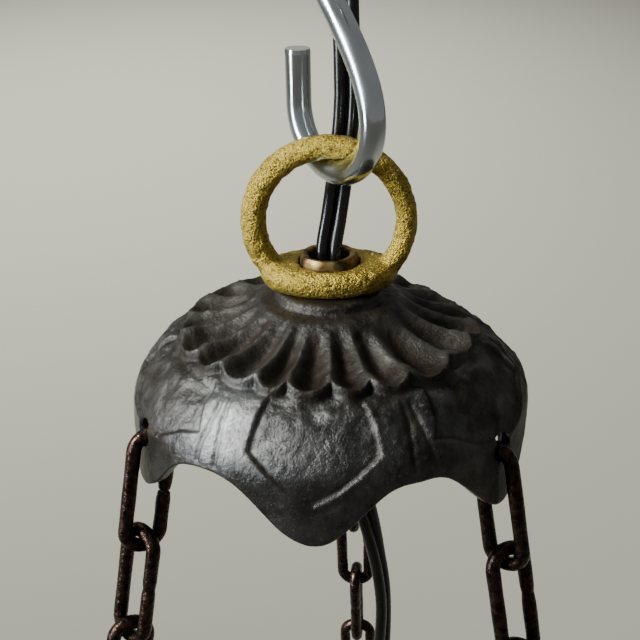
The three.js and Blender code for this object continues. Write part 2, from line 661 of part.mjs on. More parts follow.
piece(hung, 'gallery_ring', makeGalleryRing(), 'bronze');
piece(hung, 'glass_bowl', makeGlassBowl(), 'glass');
piece(hung, 'lamp_bridge', makeLampBridge(), 'bronze');
armAngles.forEach((angle, i) => {
  const screw = piece(hung, `bridge_screw_${i + 1}`, makeBridgeScrew(), 'brass');
  screw.position.set(footMiddle * Math.cos(angle), footMiddle * Math.sin(angle), 0);
});
piece(hung, 'holder_nipple', makeHolderNipple(), 'brass');
piece(hung, 'bridge_nut', makeBridgeNut(), 'brass');
piece(hung, 'cord_bush', makeCordBush(), 'blackPlastic');
piece(hung, 'holder_cap', makeHolderCap(), 'brass');
piece(hung, 'holder_shell', makeHolderShell(), 'brass');
piece(hung, 'holder_core', makeHolderCore(), 'porcelain');
piece(hung, 'contact_shell', makeContactShell(), 'brass');
piece(hung, 'centre_contact', makeCentreContact(), 'brass');
piece(hung, 'bulb_cap', makeBulbCap(), 'zinc');
piece(hung, 'bulb_glass', makeBulbGlass(), 'glass');

export default lamp;
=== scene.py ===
import bpy
import numpy as np
from mathutils import Matrix, Vector


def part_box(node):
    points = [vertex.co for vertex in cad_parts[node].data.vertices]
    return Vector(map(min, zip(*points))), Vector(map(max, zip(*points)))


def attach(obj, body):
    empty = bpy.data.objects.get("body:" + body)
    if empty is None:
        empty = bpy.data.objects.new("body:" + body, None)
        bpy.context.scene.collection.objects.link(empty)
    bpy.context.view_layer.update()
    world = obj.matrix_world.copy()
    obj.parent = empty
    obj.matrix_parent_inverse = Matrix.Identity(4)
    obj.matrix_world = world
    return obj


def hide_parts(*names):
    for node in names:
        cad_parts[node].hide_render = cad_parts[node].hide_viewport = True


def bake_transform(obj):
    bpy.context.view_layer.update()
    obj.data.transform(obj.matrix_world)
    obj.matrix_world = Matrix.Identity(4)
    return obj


# Lamp hung on three chains: S-hook, gilt cast ring, black cast crown, chains of long links, and below them
# a gallery ring with a blown glass bowl round a small bulb. Metres, +Z up, in the frame of the CAD model.
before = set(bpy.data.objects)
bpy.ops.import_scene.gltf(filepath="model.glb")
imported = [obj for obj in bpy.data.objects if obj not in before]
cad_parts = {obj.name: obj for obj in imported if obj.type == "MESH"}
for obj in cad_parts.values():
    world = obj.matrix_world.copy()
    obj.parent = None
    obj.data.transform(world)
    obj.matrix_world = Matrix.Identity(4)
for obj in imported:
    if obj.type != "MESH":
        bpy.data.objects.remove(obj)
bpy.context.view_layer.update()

# The camera
# It stands in front of the crown and a little above it, and looks down at it through a short telephoto lens.
camera = bpy.data.objects.new("camera", bpy.data.cameras.new("camera"))
bpy.context.scene.collection.objects.link(camera)
bpy.context.scene.camera = camera
camera.data.sensor_width = 36.0
camera.data.lens = 66.84
camera.data.clip_start = 0.01
tilt, swing, roll = np.radians([24.93, -1.10, -1.12])
ahead = np.array([np.sin(swing) * np.cos(tilt), np.cos(swing) * np.cos(tilt), -np.sin(tilt)])
level = np.array([np.cos(swing), -np.sin(swing), 0.0])
upward = np.cross(level, ahead)
right = level * np.cos(roll) + upward * np.sin(roll)
top = -level * np.sin(roll) + upward * np.cos(roll)
turned = Matrix(np.stack([right, top, -ahead], axis=1).tolist()).to_4x4()
camera.matrix_world = Matrix.Translation((0.000664, -0.192425, -0.029028)) @ turned

# The flex
# A flat twin cord, two black PVC cores side by side, 4.6 mm wide. It comes down from the ceiling behind the
# S-hook, through the ring and the nipple, and under the crown to the lampholder. It hangs slack.
nipple_low, nipple_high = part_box("top_nipple")
nipple_rise = 0.0092              # how far the nipple stands over the crown's zero, a place on its axis
crown_zero = np.array([(nipple_low.x + nipple_high.x) / 2, 0, nipple_high.z - nipple_rise])
flex_width, core_radius, core_middle, half_web = 0.0046, 0.00113, 0.00115, 0.0003


def linear(hex_colour):
    """The linear colour of an sRGB hex value: each channel is undone by the sRGB curve."""
    channel = np.array([int(hex_colour[i:i + 2], 16) for i in (1, 3, 5)]) / 255
    value = np.where(channel <= 0.04045, channel / 12.92, ((channel + 0.055) / 1.055) ** 2.4)
    return (*value.tolist(), 1.0)


def add(material, kind, sockets, **settings):
    """Adds a shader node with its settings, and fills its named or numbered sockets: with a value, a colour,
    another node's main output (a colour mix gives its third one) or a given output. A kind that is already
    a node, such as the shader, only gets its sockets."""
    node = material.node_tree.nodes.new("ShaderNode" + kind) if isinstance(kind, str) else kind
    for name, value in settings.items():
        setattr(node, name, value)
    for name, value in sockets.items():
        if isinstance(value, bpy.types.Node):
            value = value.outputs[2 if value.bl_idname == "ShaderNodeMix" else 0]
        if isinstance(value, bpy.types.NodeSocket):
            material.node_tree.links.new(value, node.inputs[name])
        else:
            node.inputs[name].default_value = linear(value) if isinstance(value, str) else value
    return node


def finish(name, sockets):
    """A new material with these constants on its shader. Gives the material, its shader and the place
    on the piece in metres."""
    material = bpy.data.materials.new(name)
    material.use_nodes = True
    shader = material.node_tree.nodes["Principled BSDF"]
    add(material, shader, sockets)
    return material, shader, add(material, "TexCoord", {}).outputs["Object"]


def smooth_route(stations, count):
    """A smooth line through the stations, read at equal steps of its length. Each span is the cubic that
    leaves and meets its stations along the slopes of their neighbours, timed by the root of the distance."""
    p = np.asarray(stations, float)
    time = np.concatenate([[0], np.cumsum(np.sqrt(np.linalg.norm(np.diff(p, axis=0), axis=1)))])
    slope = np.gradient(p, time, axis=0)
    t = np.linspace(0, time[-1], 40 * len(p))
    i = np.clip(np.searchsorted(time, t, "right") - 1, 0, len(p) - 2)
    span = (time[i + 1] - time[i])[:, None]
    f = (t - time[i])[:, None] / span
    line = ((1 + 2 * f) * (1 - f) ** 2 * p[i] + f * (1 - f) ** 2 * span * slope[i]
            + f ** 2 * (3 - 2 * f) * p[i + 1] + f ** 2 * (f - 1) * span * slope[i + 1])
    gone = np.concatenate([[0], np.cumsum(np.linalg.norm(np.diff(line, axis=0), axis=1))])
    even = np.linspace(0, gone[-1], count)
    return np.stack([np.interp(even, gone, line[:, k]) for k in range(line.shape[1])], axis=1)


def unit(rows):
    """Each row divided by its own length."""
    return rows / np.linalg.norm(rows, axis=1, keepdims=True)


def carried(line, outline, across, girth=1.0):
    """Carries a closed flat outline along a line, point by point: place = line + girth * (first measure *
    side + second measure * lift). Side is across, squared to the line, and lift is square to both."""
    ahead_of = unit(np.gradient(line, axis=0))
    across = np.broadcast_to(np.asarray(across, float), line.shape)
    side = unit(across - (across * ahead_of).sum(1, keepdims=True) * ahead_of)
    lift = np.cross(ahead_of, side)
    girth = np.broadcast_to(np.asarray(girth, float), len(line))[:, None, None]
    lifted = outline[None, :, 1:] * lift[:, None]
    return line[:, None] + girth * (outline[None, :, :1] * side[:, None] + lifted)


def skin(name, rings, material, joined=False, sharp=40.0):
    """A closed mesh over rings of points, in the order (ring, point round it). Neighbouring rings are joined
    by four-sided faces. Joined: the last ring meets the first. Otherwise a middle point closes each end.
    Faces are turned so that the volume, the sum of each corner's triple product, is positive."""
    count, around = rings.shape[:2]
    index = np.arange(count * around).reshape(count, around)
    here, there = (index, np.roll(index, -1, 0)) if joined else (index[:-1], index[1:])
    quads = np.stack([here, np.roll(here, -1, 1), np.roll(there, -1, 1), there], -1).reshape(-1, 4)
    points = rings.reshape(-1, 3)
    ends = np.zeros((0, 3), int)
    if not joined:
        points = np.concatenate([points, rings[:1].mean(1), rings[-1:].mean(1)])
        first, last = np.full(around, count * around), np.full(around, count * around + 1)
        ends = np.concatenate([np.stack([first, np.roll(index[0], -1), index[0]], -1),
                               np.stack([last, index[-1], np.roll(index[-1], -1)], -1)])
    a, b, c, d = (points[quads[:, k]] for k in range(4))
    e, f, g = (points[ends[:, k]] for k in range(3))
    volume = (np.cross(a, b) * c).sum() + (np.cross(a, c) * d).sum() + (np.cross(e, f) * g).sum()
    if volume < 0:
        quads, ends = quads[:, ::-1], ends[:, ::-1]
    mesh = bpy.data.meshes.new(name)
    mesh.from_pydata(points.tolist(), [], quads.tolist() + ends.tolist())
    mesh.shade_smooth()
    mesh.set_sharp_from_angle(angle=np.radians(sharp))
    mesh.materials.append(material)
    piece = bpy.data.objects.new(name, mesh)
    bpy.context.scene.collection.objects.link(piece)
    return piece


# Soft PVC, extruded: nearly black, glossy, faintly rippled where the cores were pulled through the die.
black_pvc, shader, place = finish("extruded_black_pvc", {
    "Base Color": "#070708", "Roughness": 0.24, "IOR": 1.5})
ripple = add(black_pvc, "TexNoise", {"Vector": place, "Scale": 450.0, "Detail": 2.0})
bump = add(black_pvc, "Bump", {"Height": ripple, "Strength": 0.5, "Distance": 0.00004})
rub = add(black_pvc, "MapRange", {
    "Value": ripple, "From Min": 0.35, "From Max": 0.75, "To Min": 0.2, "To Max": 0.38})
add(black_pvc, shader, {"Normal": bump, "Roughness": rub})

# Outline of the twin: two round cores whose circles meet in a thin web
web = np.arcsin(half_web / core_radius)
turn = np.linspace(-np.pi + web, np.pi - web, 19)
right_core = np.stack([core_middle + core_radius * np.cos(turn), core_radius * np.sin(turn)], 1)
twin_outline = np.concatenate([right_core, -right_core])

flex_stations = {
    "flex_upper": [
        (2.75, 16, 112.74), (2.75, 16, 108), (2.75, 15.9, 98), (2.85, 14.8, 88), (2.95, 12.8, 77),
        (3.15, 10.4, 65), (3.25, 8.4, 52), (3.45, 7.2, 42), (3.5, 6.65, 34.8)],
    "flex_middle": [
        (3.5, 6.65, 34.8), (3.2, 6.5, 30), (2.6, 6.2, 25), (1.9, 5.1, 20), (0.9, 2.8, 14), (0, 1.0, 9),
        (0, 0.2, 4), (0, 0, 0), (0, 0, -7.8)],
    "flex_lower": [
        (0, 0, -7.8), (0, 0, -14), (0.6, 0.4, -22), (2.9, 1.4, -34), (6.0, 2.6, -45), (8.3, 3.4, -56),
        (9.9, 3.6, -68), (9.7, 3.2, -80), (8.2, 2.4, -94), (6.1, 1.4, -110), (3.8, 0.4, -127),
        (2.0, -0.2, -144), (0.8, -0.4, -160), (0.1, -0.2, -174), (0, 0, -186), (0, 0, -199.7)],
}
# The bodies at its two ends, and two heights over the crown's zero
flex_bodies = {"flex_upper": ("ceiling_mount", "hanging_hook", 98, 52),
               "flex_middle": ("hanging_hook", "crown", 33, 12),
               "flex_lower": ("crown", "glass_holder", -30, -180)}
# Degrees that the flat side is turned about the cord at heights over the crown's zero
flat_heights = [-200, -95, -83, -71, -58, -46, -30, -8, 120]
flat_turns = [90, 90, 52, 66, 62, 30, 20, 0, 0]

for name, (body_a, body_b, start, end) in flex_bodies.items():
    route = smooth_route(flex_stations[name], 90) / 1000 + crown_zero
    turned_by = np.radians(np.interp((route[:, 2] - crown_zero[2]) * 1000, flat_heights, flat_turns))
    flat_side = np.stack([np.cos(turned_by), np.sin(turned_by), 0 * turned_by], 1)
    flex = skin(name + "_twin", carried(route, twin_outline, flat_side), black_pvc, sharp=70.0)
    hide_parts(name)
    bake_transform(flex)

# The S-hook
# Round steel wire 4.4 mm thick, bent cold into an S and zinc plated. It hangs in the ceiling hook and
# carries the ring. Both tips are sawn off square, so their faces are brighter than the plating.
hook_wire, hook_bend = 0.0022, 10.0
hook_low, hook_high = 33.34, 68.74            # heights of the two bends' middles
hook_facing = np.radians(-52.5)


def arc(middle, height, radius, start, end, count):
    """Points of a drawn arc: (middle + radius cos t, height + radius sin t) for t in degrees."""
    t = np.radians(np.linspace(start, end, count))
    return np.stack([middle + radius * np.cos(t), height + radius * np.sin(t)], 1)


def straight(across, start, end, count):
    """Points of a drawn upright line, from one height to another."""
    return np.stack([np.full(count, across), np.linspace(start, end, count)], 1)


def heading(angle):
    """The level direction of length 1 at this angle from +X: (cos, sin, 0)."""
    return np.array([np.cos(angle), np.sin(angle), 0])


def once_round(count):
    """Angles in equal steps once round, from 0 up to but without 2 pi."""
    return np.linspace(0, 2 * np.pi, count, endpoint=False)


def round_outline(count):
    """A circle of radius 1 as a closed outline: (cos t, sin t)."""
    return np.stack([np.cos(once_round(count)), np.sin(once_round(count))], 1)


def fit(piece, node, body):
    """Puts a piece in a CAD node's place and its body."""
    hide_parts(node)
    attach(piece, body)


# The shank between the bends: a cubic curve, upright where it leaves each bend
b = np.linspace(0, 1, 60)[1:-1, None]
shank = ((1 - b) ** 3 * (hook_bend, hook_low) + 3 * (1 - b) ** 2 * b * (hook_bend, hook_low + 13)
         + 3 * (1 - b) * b ** 2 * (-hook_bend, hook_low + 22) + b ** 3 * (-hook_bend, hook_high))
drawing = np.concatenate([
    straight(-hook_bend, hook_low + 9.1, hook_low + 0.3, 20), arc(0, hook_low, hook_bend, 180, 360, 60),
    shank, arc(0, hook_high, hook_bend, -180, -360, 60),
    straight(hook_bend, hook_high - 0.3, hook_high - 8, 16)]) / 1000
hook_line = drawing[:, :1] * heading(hook_facing) + (drawing[:, 1:] + crown_zero[2]) * (0, 0, 1)
hook_line = smooth_route(hook_line, 260)
circle = round_outline(32)
run = np.linspace(0, 1, 260)
hook_girth = hook_wire * np.clip(0.95 + np.minimum(run, 1 - run) / 0.0035 * 0.05, 0.95, 1)

# Zinc plating on drawn wire: bluish grey metal, bright on the drawn run, with fine pale rubs and tool marks
# along the inside of the bend, where the gloss is gone.
zinc_plate, shader, place = finish("zinc_plated_drawn_steel", {
    "Base Color": "#c9ccce", "Metallic": 1.0, "Roughness": 0.2})
cloud = add(zinc_plate, "TexNoise", {"Vector": place, "Scale": 160.0, "Detail": 3.0})
haze = add(zinc_plate, "MapRange", {
    "Value": cloud, "From Min": 0.35, "From Max": 0.7, "To Min": 0.12, "To Max": 0.24})
rubs_place = add(zinc_plate, "Mapping", {"Vector": place, "Scale": (1.0, 1.0, 0.12)})
rubs = add(zinc_plate, "TexNoise", {"Vector": rubs_place, "Scale": 3800.0, "Detail": 2.0})
tint = add(zinc_plate, "Mix", {0: cloud, 6: "#dfe6ea", 7: "#b4bbbf"}, data_type="RGBA")
bump = add(zinc_plate, "Bump", {"Height": rubs, "Strength": 0.35, "Distance": 0.00003})
add(zinc_plate, shader, {"Roughness": haze, "Normal": bump, "Base Color": tint})

s_hook = skin("s_hook_wire", carried(hook_line, circle, heading(hook_facing + np.pi / 2), hook_girth),
              zinc_plate)

# Sawn steel: dull, light grey and scored, on the two end faces.
sawn_steel, shader, place = finish("sawn_steel_end", {
    "Base Color": "#b9b9b4", "Metallic": 1.0, "Roughness": 0.55})
scores = add(sawn_steel, "TexNoise", {"Vector": place, "Scale": 2500.0, "Detail": 2.0})
bump = add(sawn_steel, "Bump", {"Height": scores, "Strength": 0.5, "Distance": 0.00005})
add(sawn_steel, shader, {"Normal": bump})
s_hook.data.materials.append(sawn_steel)
on_end = np.zeros(len(s_hook.data.polygons), np.int32)
on_end[-2 * len(circle):] = 1
s_hook.data.polygons.foreach_set("material_index", on_end)
fit(s_hook, "s_hook", "hanging_hook")

# The ring loop
# One brass-coloured casting: a round ring on an oval boss that is bored for the nipple. It was cast in
# coarse sand and painted gold, so its skin is grainy all over and dull in the pits.


def grit(points, size, seed):
    """Smooth random height, from -1 to 1, at points in space: random values on a cubic lattice of this
    size, joined by a smoothstep along each axis."""
    cell = points / size
    corner = np.floor(cell).astype(np.int64)
    part = cell - corner
    part = part * part * (3 - 2 * part)
    table = np.random.default_rng(seed).uniform(-1, 1, 4096)
    height = np.zeros(points.shape[:-1])
    for step in np.ndindex(2, 2, 2):
        key = (corner + step) * (73856093, 19349663, 83492791)
        share = np.prod(np.where(step, part, 1 - part), axis=-1)
        height += table[(key[..., 0] ^ key[..., 1] ^ key[..., 2]) % 4096] * share
    return height


def settle(piece):
    """Replaces a piece's mesh by what its modifiers make of it."""
    made = bpy.data.meshes.new_from_object(piece.evaluated_get(bpy.context.evaluated_depsgraph_get()))
    piece.modifiers.clear()
    piece.data = made


def join(pieces):
    """Joins the pieces into the first of them."""
    if len(pieces) == 1:
        return pieces[0]
    with bpy.context.temp_override(active_object=pieces[0], selected_editable_objects=pieces):
        bpy.ops.object.join()
    return pieces[0]


def points_of(piece):
    """A piece's corners as an array, and their normals."""
    place_of = np.zeros(len(piece.data.vertices) * 3)
    facing = place_of.copy()
    piece.data.vertices.foreach_get("co", place_of)
    piece.data.vertices.foreach_get("normal", facing)
    return place_of.reshape(-1, 3), facing.reshape(-1, 3)


ring_radius, ring_wire, ring_centre = 13.17, 2.0, 14.44
foot_low, foot_high, foot_long, foot_wide = 2.6, 7.2, 12.2, 7.75
nipple_hole = 5.45

# Gold bronze paint on a coarse sand casting: yellow metal flakes on the grains, olive and black in the pits.
gilt_casting, shader, place = finish("gold_painted_sand_casting", {
    "Base Color": "#9a8539", "Metallic": 0.85, "Roughness": 0.4})
grain = add(gilt_casting, "TexNoise", {"Vector": place, "Scale": 2600.0, "Detail": 3.0, "Roughness": 0.6})
patch = add(gilt_casting, "TexNoise", {"Vector": place, "Scale": 420.0, "Detail": 3.0})
pits = add(gilt_casting, "MapRange", {"Value": grain, "From Min": 0.32, "From Max": 0.5})
flakes = add(gilt_casting, "Mix", {0: pits, 6: "#30270b", 7: "#ad9640"}, data_type="RGBA")
worn = add(gilt_casting, "MapRange", {
    "Value": patch, "From Min": 0.5, "From Max": 0.8, "To Min": 0.0, "To Max": 0.5})
gilt_tint = add(gilt_casting, "Mix", {0: worn, 6: flakes, 7: "#715f22"}, data_type="RGBA")
bump = add(gilt_casting, "Bump", {"Height": grain, "Strength": 1.0, "Distance": 0.00045})
add(gilt_casting, shader, {"Base Color": gilt_tint, "Normal": bump})

# The ring is an arc whose ends sink into the boss; the boss is an oval cone with a round bore
arc_turn = np.radians(np.linspace(-52, 232, 130))
arc_line = np.stack([0.25 + ring_radius * np.cos(arc_turn), 0 * arc_turn,
                     ring_centre + ring_radius * np.sin(arc_turn)], 1)
arc_girth = ring_wire * (1.04 - 0.09 * np.cos(arc_turn))       # cast a little thicker on the left
ring_arc = skin("ring_loop_casting", carried(arc_line, circle, (0, 1, 0), arc_girth) / 1000 + crown_zero,
                gilt_casting)
boss_profile = np.array([(0.61, foot_low - 0.1), (0.79, foot_low - 0.2), (0.88, foot_low + 0.3),
                         (0.95, 3.8), (0.99, 4.9), (0.98, 5.8), (0.93, 6.6), (0.84, 7.1),
                         (0.72, foot_high + 0.1), (0.61, foot_high)])
boss_turn = once_round(96)
reach = np.where(boss_profile[:, :1] > 0.62, boss_profile[:, :1], 0.0)
oval_x = np.where(reach > 0, foot_long * reach, nipple_hole) * np.cos(boss_turn)
oval_y = np.where(reach > 0, foot_wide * reach, nipple_hole) * np.sin(boss_turn)
boss_rings = np.stack([oval_x, oval_y, np.broadcast_to(boss_profile[:, 1:], oval_x.shape)], 2)
boss = skin("ring_boss", boss_rings / 1000 + crown_zero, gilt_casting, joined=True)
join([ring_arc, boss])
remesh = ring_arc.modifiers.new("fuse", "REMESH")
remesh.mode, remesh.voxel_size, remesh.use_smooth_shade = "VOXEL", 0.00028, True
soften = ring_arc.modifiers.new("fillets", "SMOOTH")
soften.factor, soften.iterations = 0.5, 12
settle(ring_arc)
spots, facing = points_of(ring_arc)
lift = 0.13e-3 * grit(spots, 1.1e-3, 3) + 0.08e-3 * grit(spots, 0.55e-3, 4)
ring_arc.data.vertices.foreach_set("co", (spots + lift[:, None] * facing).ravel())
ring_arc.data.shade_smooth()
fit(ring_arc, "ring_loop", "crown")

# The nipple
# A short brass tube, threaded, that clamps crown and ring together and lets the flex through. Its rim was
# burred over by hand, so it is a little uneven and dull.


def round_axis(radius, angle, height):
    """Places at a radius, a turn and a height round an upright axis: (r cos a, r sin a, z)."""
    return np.stack([radius * np.cos(angle), radius * np.sin(angle), height], 2)


def lathed(profile, around=96, wobble=0.0, at=crown_zero, flats=999.0):
    """A profile of (radius, height) points in millimetres turned round an upright axis: x = r cos, y = r sin.
    Wobble is added to the radii, which are kept inside a hexagon that is flats wide, flats / 2 / cos a."""
    angle = once_round(around)
    profile = np.asarray(profile, float)
    hexagon = flats / 2 / np.cos((angle + np.pi / 6) % (np.pi / 3) - np.pi / 6)
    radius = np.minimum(profile[:, :1] + wobble, hexagon)
    height = np.broadcast_to(profile[:, 1:], (len(profile), around))
    return round_axis(radius, angle, height) / 1000 + at


# Old brass, turned: brown tarnish with warm yellow metal where it is rubbed.
old_brass, shader, place = finish("tarnished_turned_brass", {
    "Base Color": "#7a6540", "Metallic": 1.0, "Roughness": 0.5})
stain = add(old_brass, "TexNoise", {"Vector": place, "Scale": 600.0, "Detail": 4.0})
stain_share = add(old_brass, "MapRange", {"Value": stain, "From Min": 0.38, "From Max": 0.66})
brass_tint = add(old_brass, "Mix", {0: stain_share, 6: "#8b764c", 7: "#3f3220"}, data_type="RGBA")
bump = add(old_brass, "Bump", {"Height": stain, "Strength": 0.4, "Distance": 0.0001})
add(old_brass, shader, {"Base Color": brass_tint, "Normal": bump})

burr = 0.07 * np.sin(5 * once_round(96) + 1) + 0.05 * np.sin(9 * once_round(96))
nipple_profile = [(5.15, -8.0), (5.15, 6.9), (5.05, 7.6), (4.95, 8.2), (4.6, 8.6), (4.2, 8.65), (3.8, 8.5),
                  (3.6, 8.2), (3.55, 7.6), (3.55, -8.0)]
nipple = skin("nipple_tube", lathed(nipple_profile, wobble=burr), old_brass, joined=True)
fit(nipple, "top_nipple", "crown")

# The crown
# One thin-walled iron casting, blackened and oiled: a flat seat, a rosette of twenty shell flutes, a rough
# shoulder with sunk shield panels, and a smoother skirt that ends in six lobes, three with a chain hole.
lobe_turn = np.radians(-94.7)        # the front lobe's direction
wall, skirt_radius, skirt_lean = 2.0, 35.6, np.tan(np.radians(4))
around, upper_rows, lower_rows = 640, 96, 50

dome = smooth_route([(nipple_hole, 2.3), (8.6, 2.3), (9.2, 1.9), (9.6, 0.9), (11.8, 0.3), (13, -0.5),
                     (15, -1.9), (17.5, -3.2), (20, -4.3), (22, -4.9), (24.5, -5.4), (26.9, -6.1),
                     (28.5, -6.9), (30.3, -8.3), (31.85, -10.0), (33.2, -11.6), (34.3, -13.2),
                     (35.1, -14.8), (35.5, -16), (skirt_radius + 4 * skirt_lean, -20),
                     (skirt_radius + 12.4 * skirt_lean, -28.4)], 900)
dome_length = np.concatenate([[0], np.cumsum(np.linalg.norm(np.diff(dome, axis=0), axis=1))])


def near(value, width):
    """A bell: 1 where the value is 0, falling as exp(-(value / width) squared)."""
    return np.exp(-(value / width) ** 2)


def turned_from(degrees):
    """How many degrees each column lies round the crown from this direction, from -180 to 180."""
    return (np.degrees(phi) - degrees + 180) % 360 - 180


def at_height(z):
    """How far along the dome's outline, from the bore outwards, it has this height."""
    return np.interp(-np.asarray(z, float), -dome[:, 1], dome_length)


phi = lobe_turn + once_round(around)
from_lobe = (phi - lobe_turn + np.pi / 6) % (np.pi / 3) - np.pi / 6    # turn from the nearest lobe's middle
is_chain = np.round((phi - lobe_turn) / (np.pi / 3)) % 2               # 1 in a lobe with a chain hole
right_lobe = phi - lobe_turn - np.pi / 3
right_drift = np.radians(2.3) * np.clip(np.cos(1.5 * right_lobe), 0, 1)
right_drift = right_drift * (np.abs((right_lobe + np.pi) % (2 * np.pi) - np.pi) < np.pi / 3)
wave = 0.5 + 0.5 * np.cos(6 * (phi - lobe_turn + right_drift))
hem = -16.8 - (10.0 + 0.8 * (0.5 - 0.5 * np.cos(3 * (phi - lobe_turn)))) * wave ** 1.4 - 0.5 * np.cos(phi)
hem = hem + 0.12 * np.sin(23 * phi) * np.sin(5 * phi + 1)
split = at_height(-9.0)
skirt_end = at_height(hem - 0.35)
share = np.linspace(0, 1, lower_rows)[:, None]
upper = np.repeat(np.linspace(0, split, upper_rows, endpoint=False)[:, None], around, 1)
along_dome = np.concatenate([upper, split + (skirt_end - split) * share])
radius = np.interp(along_dome, dome_length, dome[:, 0])
height = np.interp(along_dome, dome_length, dome[:, 1])
slope_r = np.interp(along_dome, dome_length, np.gradient(dome[:, 0], dome_length))
slope_z = np.interp(along_dome, dome_length, np.gradient(dome[:, 1], dome_length))
out_r, out_z = -slope_z, slope_r                                           # the outline's outward normal


def soft_step(value, width):
    """0 well below zero, 1 well above it, smooth over this width."""
    part = np.clip(value / width + 0.5, 0, 1)
    return part * part * (3 - 2 * part)


# Flutes: a slab over the dome, dished towards its scalloped lip, with a scoop and a deep pit sunk between the
# ribs. The ribs were cut by hand in the pattern, so they stand unevenly, at these degrees round the crown.
rib_turns = np.array([-168, -151, -135, -118, -105.5, -89.5, -75, -59.5, -37.5, -18, 2, 21, 40, 59, 78, 97,
                      116, 135, 154, 173, 192])
u = np.interp((np.degrees(phi) + 168) % 360 - 168, rib_turns, np.arange(21)) % 1 - 0.5     # across a flute
ridge = np.sin(np.pi * u) ** 2 * (0.75 + 0.25 * np.abs(2 * u))
lip = 26.7 - 1.5 * np.abs(2 * u) ** 2.4 + 0.25 * np.sin(7 * phi + 2)
flute_foot = 12.6
drawn_out = flute_foot + 13.9 * np.clip((radius - flute_foot) / (lip - flute_foot), 0, 1.2)
out_flute = np.where(radius < flute_foot, radius, drawn_out)
slab = np.interp(out_flute, [11.4, 12.8, 14.5, 18, 22, 24, 25.6, 27],
                 [0, 0.25, 0.6, 1.0, 1.6, 2.0, 2.1, 2.0])
scoop = np.interp(out_flute, [12.2, 13.4, 15.5, 18, 21, 23.4, 24.8, 26, 27],
                  [0, 0.3, 0.95, 1.6, 2.0, 2.1, 1.7, 0.8, 0.6])
inside_lip = soft_step(lip - radius, 0.8)
sag = (0.85 + 0.45 * np.cos(phi)) * soft_step(np.sin(phi) + 0.05, 0.8) * np.clip((out_flute - 13) / 8, 0, 1)
space = round_axis(radius, phi, height)
lumps = 0.5 * grit(space, 2.6, 21)
lumps = lumps * np.clip((out_flute - 20) / 4, 0, 1) * soft_step(32 - radius, 4)
rise = lumps + (slab - sag - scoop * (1 - ridge)) * inside_lip      # the rosette sags a little at the back
hollow = np.clip(0.4 + scoop * (1 - ridge) / 1.7, 0, 1)
hollow = hollow * soft_step(lip - radius + 1.2, 1.5) * soft_step(radius - 9, 1)
crest = inside_lip * np.clip(ridge - 0.5, 0, 1) * np.clip((out_flute - 13) / 6, 0, 1)


def off_line(corners):
    """Distance in millimetres over the casting from a broken line of (degrees from the lobe, height) corners:
    the least over its legs, with degrees turned to length at each point's own radius."""
    best = np.full(along_dome.shape, 99.0)
    for (t0, z0), (t1, z1) in zip(corners[:-1], corners[1:]):
        du, dv = np.radians(t1 - t0) * radius, at_height(z1) - at_height(z0)
        pu, pv = (np.abs(from_lobe) - np.radians(t0)) * radius, along_dome - at_height(z0)
        part = np.clip((pu * du + pv * dv) / (du * du + dv * dv), 0, 1)
        best = np.minimum(best, np.hypot(pu - part * du, pv - part * dv))
    return best


# Shield panels: sunk 0.5 mm inside a raised border, narrow on a plain lobe and wide on one with a chain hole
plain_edge = [(16.1, -6.6), (17.4, -9.5), (18.0, -12.4), (6.0, -17.9), (0.0, -19.9)]
chain_edge = [(21.5, -6.6), (22.5, -9.3), (25.0, -11.9), (19.0, -12.8), (10.6, -15.4), (3.0, -16.2)]
turn_deg = np.degrees(np.abs(from_lobe))
shoulder = soft_step(radius - 27.4, 1.2)
for edge, here in ((plain_edge, 1 - is_chain), (chain_edge, is_chain)):
    corner_s = at_height([z for _, z in edge])
    limit = np.interp(along_dome, corner_s, [t for t, _ in edge], right=-1)
    off = off_line(edge)
    sign = np.where((turn_deg < limit) & (along_dome < corner_s[-1]), -1, 1)
    below_lip = shoulder * here
    border = 0.12 * near(off - 0.7, 0.7) * (sign > 0) - 0.25 * near(off, 0.35)
    rise = rise + below_lip * (border - 0.45 * soft_step(-off * sign, 1.1))
    hollow = np.maximum(hollow, below_lip * 0.8 * near(off, 0.4))
divide = off_line([(28.6, -7.0), (28.2, -10), (27.2, -13), (27.0, -15.9)])
rise = rise - 0.3 * near(divide, 0.45) * shoulder
hollow = np.maximum(hollow, 0.5 * near(divide, 0.5))
tip_bead = off_line([(7.5, -20.6), (0.0, -22.6)])
rise = rise + 0.13 * near(tip_bead, 0.5) * (1 - is_chain)

# A dent in the shoulder at the back right, and the rough skin of the sand mould
dent = 0.9 * near(turned_from(30), 32) * soft_step(radius - 22, 4)
rise = rise - dent * (1 - soft_step(along_dome - at_height(-13), 5))
rough = soft_step(radius - 8.4, 2) * (1 - 0.65 * soft_step(along_dome - at_height(-15.5), 6))
rise = rise + rough * (0.09 * grit(space, 1.3, 11) + 0.08 * grit(space, 0.75, 12))
rise = rise + 0.14 * grit(space, 6.0, 13)

# What the hollows hold: rust at the right and dirt round the foot; painted shade on the right skirt, and dirt
# with painted shade at the left
right_side = soft_step(np.cos(phi + 0.2) - 0.45, 0.5) * soft_step(radius - 24, 3)
hollow = np.maximum(hollow, 0.8 * soft_step(grit(space, 3.2, 31) + 0.05, 0.5) * right_side * rough)
hollow = np.maximum(hollow, 0.7 * soft_step(12.4 - radius, 1))
# Painted shade: the lower skirt on the right is made duller and darker
hollow = np.maximum(hollow, 0.85 * soft_step(np.cos(phi) - 0.75, 0.25)
                    * soft_step(along_dome - at_height(-13), 4))
# Dirt with painted shade: the left side is made duller and darker, in grains
left_dirt_and_shade = 0.75 * near(turned_from(-160), 18) * soft_step(height + 13.5, 5) * soft_step(radius - 24, 3)
hollow = np.maximum(hollow, left_dirt_and_shade * soft_step(grit(space, 2.6, 33) + 0.3, 0.5))

# A painted highlight on the left, where the iron shines most as seen: lighter colour and more shine. That it
# is rubbed there is a guess
painted_highlight = near(turned_from(-123), 8) * near(height + 10.5, 3.5)

outer_r = radius + rise * out_r
outer_z = height + rise * out_z
